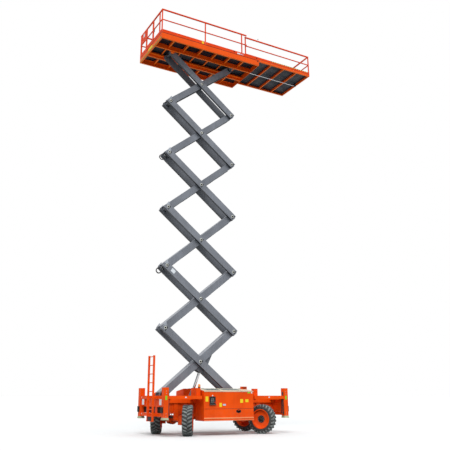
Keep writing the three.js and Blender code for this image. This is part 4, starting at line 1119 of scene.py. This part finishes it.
    def controls(self) -> None:
        """Adds switches, a stop button and small lamps to the ground control panel."""
        body = f"hood_{self.side}"
        x, y = along_x(-674), -self.front - 0.022
        frame_piece = Shape("panel_frame")
        for low, high in (
            ((x - 0.112, y - 0.005, 1.250), (x + 0.112, y + 0.002, 1.262)),
            ((x - 0.112, y - 0.005, 1.016), (x + 0.112, y + 0.002, 1.028)),
            ((x - 0.112, y - 0.005, 1.028), (x - 0.100, y + 0.002, 1.250)),
            ((x + 0.100, y - 0.005, 1.028), (x + 0.112, y + 0.002, 1.250)),
        ):
            frame_piece.block(low, high, 0.002)
        frame_piece.done(Kit.BLACK, body)
        knobs = Shape("panel_switches")
        for row in range(3):
            for column in range(3):
                kx, kz = x - 0.055 + column * 0.045, 1.085 + row * 0.05
                knobs.bar((kx, y, kz), (kx, y - 0.012, kz), 0.012, 16, 0.002)
                knobs.bar((kx, y - 0.012, kz), (kx, y - 0.024, kz + 0.008), 0.004, 8, 0.001)
        knobs.done(Kit.ZINC, body)
        stop = Shape("panel_stop_button").bar((x + 0.075, y, 1.075), (x + 0.075, y - 0.012, 1.075), 0.013, 20)
        stop.bar((x + 0.075, y - 0.012, 1.075), (x + 0.075, y - 0.022, 1.075), 0.020, 24, 0.004)
        stop.done(Kit.RED, body)
        lamp = Shape("panel_lamp").bar((x, -self.front, 1.295), (x, -self.front - 0.012, 1.295), 0.024, 24, 0.004)
        lamp.done(Kit.WHITE, body)
        ledge = Shape("panel_ledge").block((x - 0.127, y - 0.020, 1.0123), (x + 0.127, -self.front, 1.0143), 0.0008, 1)
        ledge.done(Kit.CREAM, body)

    def hinges(self) -> None:
        """Adds hinge barrels along the inner top edge."""
        s = self.sign
        barrels = Shape(f"hood_hinges_{self.side}")
        for x in (-800, -400, 0, 400, 760):
            y = s * (self.inner + 0.010)
            barrels.bar((along_x(x), y, 1.5395), (along_x(x + 110), y, 1.5395), 0.010, 16, 0.001)
        barrels.done(Kit.ZINC, f"hood_{self.side}")

    def build(self) -> None:
        """Makes the whole pod."""
        dress(f"pod_tray_{self.side}", Kit.ORANGE)
        dress(f"pod_hood_{self.side}", Kit.ORANGE)
        self.top()
        self.front_trim()
        self.hinges()
        if self.side == "near":
            dress("control_panel", Kit.PANEL)
            self.stickers()
            self.outlet()
            self.controls()
        LOG.info("pod %s: top, trim and hinges", self.side)


# ---------------------------------------------------------------- scissor pack


@dataclass
class ScissorPack:
    """Six levels of arms with pin bushes, wear pads, pipes and hose loops."""

    pitch: float = 3.680
    angle: float = math.radians(38.5)
    left: float = along_x(-2150)
    base: float = 1.330
    levels: int = 6
    outer_face: float = 0.280
    depth: float = 0.130
    outer_walls: tuple[float, float] = (0.1785, 0.2815)  # the outer arms' end boxes, across the lift
    inner_walls: tuple[float, float] = (0.120, 0.1665)
    pipe_start: float = 0.25  # from the end pins

    @property
    def half(self) -> float:
        """From an arm's middle to its end pins."""
        return self.pitch / 2

    @property
    def rise(self) -> float:
        """Height of one level."""
        return self.pitch * math.sin(self.angle)

    def arm_frame(self, level: int, inner: bool) -> Matrix:
        """The matrix from an arm's own frame, centred with +X along it, to the lift's frame."""
        x = self.left + self.pitch * math.cos(self.angle) / 2
        z = self.base + self.rise * (level - 0.5)
        turn = -self.angle if inner else self.angle
        return Matrix.Translation((x, 0, z)) @ Matrix.Rotation(turn, 4, "Y")

    def bushes(self, level: int) -> None:
        """Adds pale bushes and dark pin heads on the outer arms."""
        half, place = self.half, self.arm_frame(level, False)
        pale, dark = Shape(f"pin_bushes_{level}"), Shape(f"pin_heads_{level}")
        for x in (-half, 0, half):
            for side in (-1, 1):
                face = side * (self.outer_face - 0.001)
                pale.bar((x, face, 0), (x, face + side * 0.009, 0), 0.058, 28, 0.003)
                dark.bar((x, face + side * 0.006, 0), (x, face + side * 0.016, 0), 0.034, 24, 0.003)
                low, high = sorted((face, face + side * 0.007))
                dark.block((x + 0.035, low, -0.085), (x + 0.075, high, 0.085), 0.002)
        pale.done(Kit.BRUSH, f"outer_arms_{level}", place)
        dark.done(Kit.BLACK, f"outer_arms_{level}", place)

    def end_plates(self, level: int) -> None:
        """Adds the doubler plates round the pins of the outer arms and the ribs along their edges."""
        half, place = self.half, self.arm_frame(level, False)
        plates = Shape(f"arm_doublers_{level}")
        for side in (-1, 1):
            low, high = span(side, self.outer_face, self.outer_face + 0.0035)
            for x in (-half, half):
                way = 1 if x < 0 else -1
                x0, x1 = sorted((x - way * 0.05, x + way * 0.30))
                plates.block((x0, low, -0.095), (x1, high, 0.095), 0.001, 1)
            plates.block((-0.17, low, -0.095), (0.17, high, 0.095), 0.001, 1)
        plates.done(Kit.ARM, f"outer_arms_{level}", place)

    def square_ends(self, level: int) -> None:
        """Adds the squared end boxes round the pins that stand clear of the chassis and the deck."""
        half, deep = self.half, self.depth
        outer, inner = Shape(f"outer_ends_{level}"), Shape(f"inner_ends_{level}")
        for way, free in ((-1, level < self.levels), (1, level > 1)):
            if free:
                for arm, turned, walls, round_off in (
                    (outer, way, self.outer_walls, 0.010), (inner, -way, self.inner_walls, 0.008),
                ):
                    x0, x1 = span(turned, half - 0.02, half + 0.112)
                    for side in (-1, 1):
                        low, high = span(side, *walls)
                        arm.block((x0, low, -deep - 0.0015), (x1, high, deep + 0.0015), round_off)
        outer.done(Kit.ARM, f"outer_arms_{level}", self.arm_frame(level, False))
        inner.done(Kit.INNER_ARM, f"inner_arm_{level}", self.arm_frame(level, True))

    def upright_plates(self, level: int) -> None:
        """Adds the small pale upright plates on both sides of the joint at the ladder end."""
        z = self.base + self.rise * level
        shape = Shape(f"joint_plates_{level}")
        for side in (-1, 1):
            low, high = span(side, 0.2835, 0.2895)
            outline = [(self.left - 0.105, low, z + 0.055), (self.left + 0.070, low, z + 0.075),
                       (self.left + 0.020, low, z + 0.225), (self.left - 0.045, low, z + 0.150)]
            shape.prism(outline, (0, high - low, 0), 0.0015)
        shape.done(Kit.PALE, f"outer_arms_{level}")

    def pads(self, level: int) -> None:
        """Adds wear pads between the inner arm and the arms outside it."""
        half, place = self.half, self.arm_frame(level, True)
        pads = Shape(f"wear_pads_{level}")
        for x in (-half, 0, half):
            for side in (-1, 1):
                y = side * 0.165
                pads.bar((x, y, 0), (x, y + side * 0.009, 0), 0.085, 32, 0.002)
        pads.done(Kit.BLACK, f"inner_arm_{level}", place)

    def pipes(self, level: int) -> None:
        """Adds a pair of clipped pipes along the underside of the inner arm."""
        place, lowest = self.arm_frame(level, True), level == 1  # the lowest pipes are short, thick and close-clipped
        start, end = -self.half + self.pipe_start, self.half - self.pipe_start
        places = [start + (end - start) * step / 8 for step in range(9)]
        if lowest:
            places = [start + step * 0.10 for step in range(8)]
        for index, y in enumerate((-0.075, -0.045)):
            z = -self.depth - 0.012
            kit = Kit.RED_HOSE if index == 0 and lowest else Kit.HOSE
            points = [place @ Vector((x, y, z + 0.0025 * math.sin(x * 9 + index))) for x in places]
            hose(f"arm_pipe_{level}_{index}", points, 0.013 if lowest else 0.010, kit, f"inner_arm_{level}")
        clips = Shape(f"pipe_clips_{level}")
        last, step = (-self.half + 0.90, 0.28) if lowest else (end, 0.52)
        x = start + 0.05
        while x < last:
            clips.block((x, -0.092, -self.depth - 0.024), (x + 0.03, -0.028, -self.depth + 0.001), 0.003)
            x += step
        clips.done(Kit.BLACK, f"inner_arm_{level}", place)

    def loop(self, level: int) -> None:
        """Replaces a hose loop at the ladder end with two smooth hoses and their fittings."""
        place = self.arm_frame(level, True) @ Matrix.Translation((-self.half, -0.060, 0))
        route = [(-0.0738, 0.019), (-0.110, 0.020), (-0.180, 0.050), (-0.280, 0.100), (-0.380, 0.070), (-0.405, 0),
                 (-0.380, -0.070), (-0.280, -0.100), (-0.180, -0.050), (-0.110, -0.020), (-0.0738, -0.019)]
        points = [place @ Vector((x, 0, z)) for x, z in route]
        hose(f"hose_loop_{level}", points, 0.0155, Kit.HOSE, f"inner_arm_{level}", (f"hose_loop_{level}",))
        points = [place @ Vector((x * 0.93 + 0.006, 0.036, z * 0.9)) for x, z in route]
        hose(f"hose_loop_second_{level}", points, 0.012, Kit.HOSE, f"inner_arm_{level}")
        ties = Shape(f"hose_ties_{level}")
        for way in (1, -1):
            ties.bar((-0.150, -0.018, way * 0.034), (-0.164, -0.018, way * 0.042), 0.020, 16, 0.002)
        ties.done(Kit.ZINC, f"inner_arm_{level}", place)

    def blank_plate(self) -> None:
        """Adds the white blank plate on the near outer arm of the second level."""
        place = self.arm_frame(2, False)
        face = -self.outer_face
        shape = Shape("arm_plate").block((-1.60, face - 0.0065, -0.060), (-1.42, face - 0.0035, 0.075), 0.001, 1)
        shape.done(Kit.WHITE, "outer_arms_2", place, slot="arm_paint")

    def build(self) -> None:
        """Makes the whole scissor pack."""
        for level in range(1, self.levels + 1):
            # The arm paints carry painted shade inside the pack and below, and a painted highlight on top.
            dress(f"inner_arm_{level}", Kit.INNER_ARM)
            dress(f"outer_arms_{level}", Kit.ARM)
            soften(f"inner_arm_{level}", 0.008)
            soften(f"outer_arms_{level}", 0.008)
            self.bushes(level)
            self.square_ends(level)
            if level < self.levels:
                self.upright_plates(level)
            self.end_plates(level)
            self.pads(level)
            self.pipes(level)
            if level in (3, 5):
                self.loop(level)
        self.blank_plate()
        LOG.info("scissor pack: %d levels with bushes, pads, pipes and hose loops", self.levels)


@dataclass
class LiftCylinder:
    """The lift cylinder: a painted barrel with its gland and a chromed rod."""

    base: tuple[float, float] = (along_x(-1180), 0.680)
    eye: tuple[float, float] = (along_x(-600), 2.160)
    barrel_radius: float = 0.0885
    rod_radius: float = 0.0490
    barrel_length: float = 0.840

    def build(self) -> None:
        """Replaces the barrel and the rod with turned shapes."""
        run = Vector((self.eye[0] - self.base[0], 0, self.eye[1] - self.base[1]))
        place = Matrix.Translation((self.base[0], 0, self.base[1]))
        place = place @ Matrix.Rotation(-math.atan2(run.z, run.x), 4, "Y")
        stand = Matrix.Rotation(-math.pi / 2, 4, "Z")  # the profile's Y axis turned to point along X
        r, end = self.barrel_radius, self.barrel_length
        barrel = [
            (0, 0.070), (r - 0.012, 0.070), (r, 0.082), (r, end - 0.12), (r - 0.004, end - 0.115),
            (r - 0.004, end - 0.085), (r, end - 0.08), (r, end - 0.012), (r - 0.010, end),
            (self.rod_radius + 0.002, end), (self.rod_radius + 0.002, 0.110), (0, 0.110),
        ]
        shape = Shape("lift_barrel_turned").spun(barrel, 48, stand)
        for y0, y1 in ((-0.0885, -0.0450), (0.0450, 0.0885)):
            shape.bar((0, y0, 0), (0, y1, 0), 0.086, 36, 0.004)
        shape.block((0.030, -0.060, -0.055), (0.110, 0.060, 0.055), 0.010)
        shape.block((0.120, -0.030, -0.112), (0.190, 0.030, -0.075), 0.006)
        shape.done(Kit.ARM, "barrel", place, ("lift_barrel",))
        reach, r = run.length, self.rod_radius
        rod = [
            (0, reach - 0.800), (r - 0.003, reach - 0.800), (r, reach - 0.795), (r, reach - 0.050), (0, reach - 0.050),
        ]
        Shape("lift_rod_turned").spun(rod, 48, stand).done(Kit.CHROME, "rod", place, ("lift_rod",))
        head = Shape("lift_rod_eye")
        head.bar((reach, -0.0915, 0), (reach, 0.0915, 0), 0.0595, 36, 0.004)
        head.bar((reach - 0.066, 0, 0), (reach - 0.03, 0, 0), 0.058, 32, 0.004)
        head.done(Kit.ARM, "rod", place)
        LOG.info("lift cylinder: barrel, rod and eye")


# ---------------------------------------------------------------- platform


@dataclass
class Platform:
    """The main deck with its guard rails, gate, tape, plates and underside."""

    floor: float = DECK_FLOOR
    frame_low: float = 15.04512
    left: float = along_x(-3034)
    right: float = along_x(1670)
    half: float = 1.160
    rail_top: float = DECK_FLOOR + 1.130
    posts: tuple[float, ...] = (-3012, -1007, 806)  # the rail posts, in mm from the middle of the wheelbase

    def dress_nodes(self) -> None:
        """Gives the carried-over nodes their finishes."""
        for node in ("guard_rail_near", "guard_rail_far", "guard_rail_end", "gate"):
            dress(node, Kit.RAIL_ORANGE)
        # The frame orange paints light on the frame's undersides.
        dress("platform_frame", Kit.FRAME_ORANGE_LIT_BELOW)
        dress("platform_deck", Kit.DECK)

    def tape(self) -> None:
        """Adds warning tape along the lower edge of the ladder end and a plate above it."""
        x, low = self.left, self.frame_low
        strip = Shape("end_tape").block((x - 0.0015, -1.14, low + 0.012), (x + 0.003, 1.14, low + 0.070), 0.0005, 1)
        strip.done(Kit.TAPE, "platform")
        label("end_yellow_plate", (x - 0.0015, -0.20, low + 0.085), (x + 0.003, 0.20, low + 0.185), Kit.YELLOW,
              "platform")
        groove = Shape("end_groove").block(
            (x - 0.001, -1.155, self.floor - 0.016), (x + 0.001, 1.155, self.floor - 0.001), 0.0003, 1)
        groove.done(Kit.BLACK, "platform")

    def fascia(self) -> None:
        """Adds plates, dots and a joint strip along the near and far edges."""
        for name, x0, x1, z0, z1, kit in (
            ("yellow", -1180, -1090, 0.02, 0.13, Kit.YELLOW), ("white", 560, 700, 0.03, 0.095, Kit.WHITE),
            ("blue", 730, 860, 0.03, 0.085, Kit.BLUE),
        ):
            label(f"fascia_{name}", (along_x(x0), -self.half - 0.0015, self.floor + z0),
                  (along_x(x1), -self.half, self.floor + z1), kit, "platform")
        dots = Shape("fascia_dots")
        for x, z in ((400, 0.10), (1560, 0.10), (1610, -0.05)):
            dots.bar((along_x(x), -self.half, self.floor + z), (along_x(x), -self.half - 0.008, self.floor + z), 0.028,
                     20, 0.003)
        dots.done(Kit.BLACK, "platform")
        for side, way in SIDES.items():
            low, high = span(way, self.half - 0.003, self.half + 0.0015)
            lip = Shape(f"fascia_lip_{side}").block(
                (self.left, low, self.floor + 0.140), (self.right, high, self.floor + 0.1503), 0.002)
            lip.block((self.left, low, self.frame_low), (self.right, high, self.frame_low + 0.010), 0.002)
            lip.done(Kit.RAIL_ORANGE, "platform")
            low, high = span(way, self.half - 0.001, self.half + 0.0012)
            groove = Shape(f"fascia_groove_{side}").block(
                (self.left + 0.002, low, self.floor - 0.0155), (self.right - 0.002, high, self.floor + 0.0045),
                0.0004, 1)
            groove.done(Kit.BLACK, "platform")
            bolts = Shape(f"rail_bolts_{side}")
            y = way * self.half
            for x in map(along_x, self.posts):
                for z in (self.floor + 0.04, self.floor + 0.11):
                    bolts.bar((x, y, z), (x, y + way * 0.006, z), 0.012, 6, 0.001)
            bolts.done(Kit.ZINC, "platform")

    def underside(self) -> None:
        """Adds a pipe and a valve box below the deck."""
        z1 = self.frame_low + 0.2352
        hose("deck_pipe", [(along_x(x), 0.62 + 0.01 * math.sin(x * 0.01), z1 - 0.13) for x in range(-2950, 1601, 350)],
             0.014, Kit.HOSE, "platform")
        box = Shape("deck_valve_box").block((along_x(-2960), 0.56, z1 - 0.17), (along_x(-2840), 0.74, z1 - 0.02), 0.006)
        box.done(Kit.BLACK, "platform")

    def rails(self) -> None:
        """Adds the gate's latch and strap, the plate on the solid panel, and the rails' sockets and end caps."""
        x = self.left
        latch = Shape("gate_latch")
        latch.block((x + 0.045, -0.245, self.floor + 0.56), (x + 0.075, -0.165, self.floor + 0.66), 0.005)
        latch.bar((x + 0.06, -0.205, self.floor + 0.56), (x + 0.06, -0.205, self.floor + 0.50), 0.008, 12)
        latch.done(Kit.BLACK, "platform")
        strap = Shape("gate_strap").block(
            (x + 0.044, 0.500, self.floor + 0.20), (x + 0.050, 0.530, self.floor + 0.55), 0.001, 1)
        strap.done(Kit.BLACK, "platform")
        label("panel_plate", (x + 0.0035, 0.70, self.floor + 0.86), (x + 0.0052, 0.86, self.floor + 1.02), Kit.WHITE,
              "platform")
        sockets = Shape("rail_sockets")
        for way in (-1, 1):
            y = way * (self.half - 0.024)
            for x in map(along_x, self.posts):
                sockets.block((x - 0.026, y - 0.026, self.floor + 0.001), (x + 0.026, y + 0.019, self.floor + 0.09),
                              0.003)
        sockets.done(Kit.RAIL_ORANGE, "platform")
        caps = Shape("rail_caps")
        for side, way in SIDES.items():
            y, end = way * (self.half - 0.025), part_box(f"guard_rail_{side}")[1][0]
            caps.block((end - 0.002, y - 0.024, self.rail_top - 0.049),
                       (end + 0.002, y + 0.024, self.rail_top - 0.001), 0.0008, 1)
        caps.done(Kit.BLACK, "platform")

    def build(self) -> None:
        """Makes everything on the main deck."""
        self.dress_nodes()
        self.tape()
        self.fascia()
        self.underside()
        self.rails()
        LOG.info("platform: tape, fascia, underside and rails")


@dataclass
class RollOut:
    """The roll-out deck with its rails, tape, push rod and latch."""

    floor: float = DECK_FLOOR + 0.1274
    left: float = along_x(1015)
    right: float = along_x(4514)
    half: float = 1.095
    frame_low: float = DECK_FLOOR + 0.012

    def build(self) -> None:
        """Dresses the nodes and adds the trim."""
        # The frame orange paints light on the frame's undersides.
        dress("rollout_frame", Kit.FRAME_ORANGE_LIT_BELOW)
        dress("rollout_rails", Kit.RAIL_ORANGE)
        dress("rollout_deck", Kit.DECK)
        for side, way in SIDES.items():
            low, high = span(way, self.half, self.half + 0.0015)
            tape = Shape(f"rollout_tape_{side}").block(
                (along_x(2350), low, self.floor + 0.062), (along_x(4440), high, self.floor + 0.092), 0.0004, 1)
            tape.done(Kit.TAPE, "rollout")
        end, low = self.right, self.frame_low
        rod = Shape("rollout_rod").bar((self.left + 0.02, -0.02, low + 0.004), (end - 0.06, -0.02, low + 0.004), 0.011,
                                       16, 0.001)
        rod.done(Kit.CHROME, "rollout")
        latch = Shape("rollout_latch").block((end - 0.115, -0.075, low - 0.008), (end - 0.05, 0.035, low + 0.05), 0.006)
        latch.block((end - 0.060, -0.050, low - 0.008), (end - 0.006, 0.010, low + 0.03), 0.005)
        latch.done(Kit.BLACK, "rollout")
        bolts, z = Shape("rollout_bolts"), self.floor - 0.06
        for way in (-1, 1):
            y = way * self.half
            for x in map(along_x, range(1200, 4500, 600)):
                bolts.bar((x, y, z), (x, y + way * 0.006, z), 0.011, 6, 0.001)
        bolts.done(Kit.ZINC, "rollout")
        LOG.info("roll-out deck: tape, rod, latch and bolts")


# ---------------------------------------------------------------- stage


@dataclass
class Stage:
    """Pale floor, white surroundings, soft lamps and the camera."""

    eye: tuple[float, float, float] = (-12.049, -20.484, 1.305)
    heading: float = 61.45  # degrees from +X
    tilt: float = 19.295
    lens: float = 47.843
    shift: tuple[float, float] = (0.03339, -0.08671)
    floor_size: float = 400.0
    sky: tuple[float, float] = (0.38, 1.10)  # light level at the horizon and overhead

    def seen_directly(self, graph: Graph) -> Socket:
        """One where a camera, mirror or glass ray looks, else zero."""
        path = graph.add("LightPath").outputs
        both = graph.math("MAXIMUM", path["Is Camera Ray"], path["Is Glossy Ray"])
        return graph.math("MAXIMUM", both, path["Is Transmission Ray"])

    def floor(self) -> None:
        """Adds a wide pale floor that keeps the lift's shadow."""
        graph = Graph("pale_floor")
        seen = self.seen_directly(graph)
        colour = graph.mix(seen, (0.36, 0.39, 0.41), (0.800, 0.820, 0.828))
        graph.feed(Base_Color=colour, Roughness=0.9, Specular_IOR_Level=0.0)
        bm = bmesh.new()
        bmesh.ops.create_grid(bm, x_segments=2, y_segments=2, size=self.floor_size)
        mesh = bpy.data.meshes.new("floor")
        bm.to_mesh(mesh)
        bm.free()
        mesh.materials.append(graph.material)
        floor = put("floor", mesh)
        floor.location.z = -0.001  # just below the tyres

    def world(self) -> None:
        """Sets a white sky for the camera, and for the rest one that brightens upward."""
        world = bpy.data.worlds.new("surroundings")
        bpy.context.scene.world = world
        world.use_nodes = True
        tree = Tree(world.node_tree)
        path = tree.add("LightPath").outputs
        direct = tree.math("MAXIMUM", path["Is Camera Ray"], path["Is Transmission Ray"])
        height = tree.add("SeparateXYZ", {0: tree.add("TexCoord").outputs["Generated"]}).outputs["Z"]
        level = tree.remap(direct, 0, 1, tree.remap(height, 0, 1, *self.sky), 1)
        back = tree.add("Background", {"Color": (1, 1, 1, 1), "Strength": level})
        tree.add("OutputWorld", {"Surface": back.outputs[0]})

    def lamps(self) -> None:
        """Adds a soft key from the ladder end and a weak fill."""
        for name, way, power, softness in (
            ("key", (-0.42, -0.66, 1.00), 1.60, 0.6),
            ("fill", (0.40, -0.85, 0.50), 0.30, 0.8),
        ):
            lamp = bpy.data.lights.new(name, "SUN")
            lamp.energy = power
            lamp.angle = softness
            placed = put(name, lamp)
            placed.rotation_mode = "QUATERNION"
            placed.rotation_quaternion = Vector(way).to_track_quat("Z", "Y")

    def camera(self) -> None:
        """Places the camera."""
        data = bpy.data.cameras.new("camera")
        data.lens = self.lens
        data.sensor_width = 36
        data.shift_x, data.shift_y = self.shift
        data.clip_start, data.clip_end = 0.1, 2000
        camera = put("camera", data)
        camera.location = self.eye
        camera.rotation_mode = "QUATERNION"
        flat, rise = math.radians(self.heading), math.radians(self.tilt)
        view = Vector((math.cos(rise) * math.cos(flat), math.cos(rise) * math.sin(flat), math.sin(rise)))
        camera.rotation_quaternion = view.to_track_quat("-Z", "Y")
        bpy.context.scene.camera = camera

    def build(self) -> None:
        """Makes the whole stage."""
        self.floor()
        self.world()
        self.lamps()
        self.camera()
        bpy.context.scene.view_settings.view_transform = "Standard"
        LOG.info("stage: floor, surroundings, lamps and camera")


def main() -> None:
    """Builds every part of the lift and its stage, in order."""
    Stage().build()
    for end in ENDS:
        for side in SIDES:
            Wheel(end, side).build()
    Chassis().build()
    for side in SIDES:
        Pod(side).build()
    ScissorPack().build()
    LiftCylinder().build()
    Platform().build()
    RollOut().build()


if __name__ == "__main__":
    main()
    bpy.context.view_layer.update()
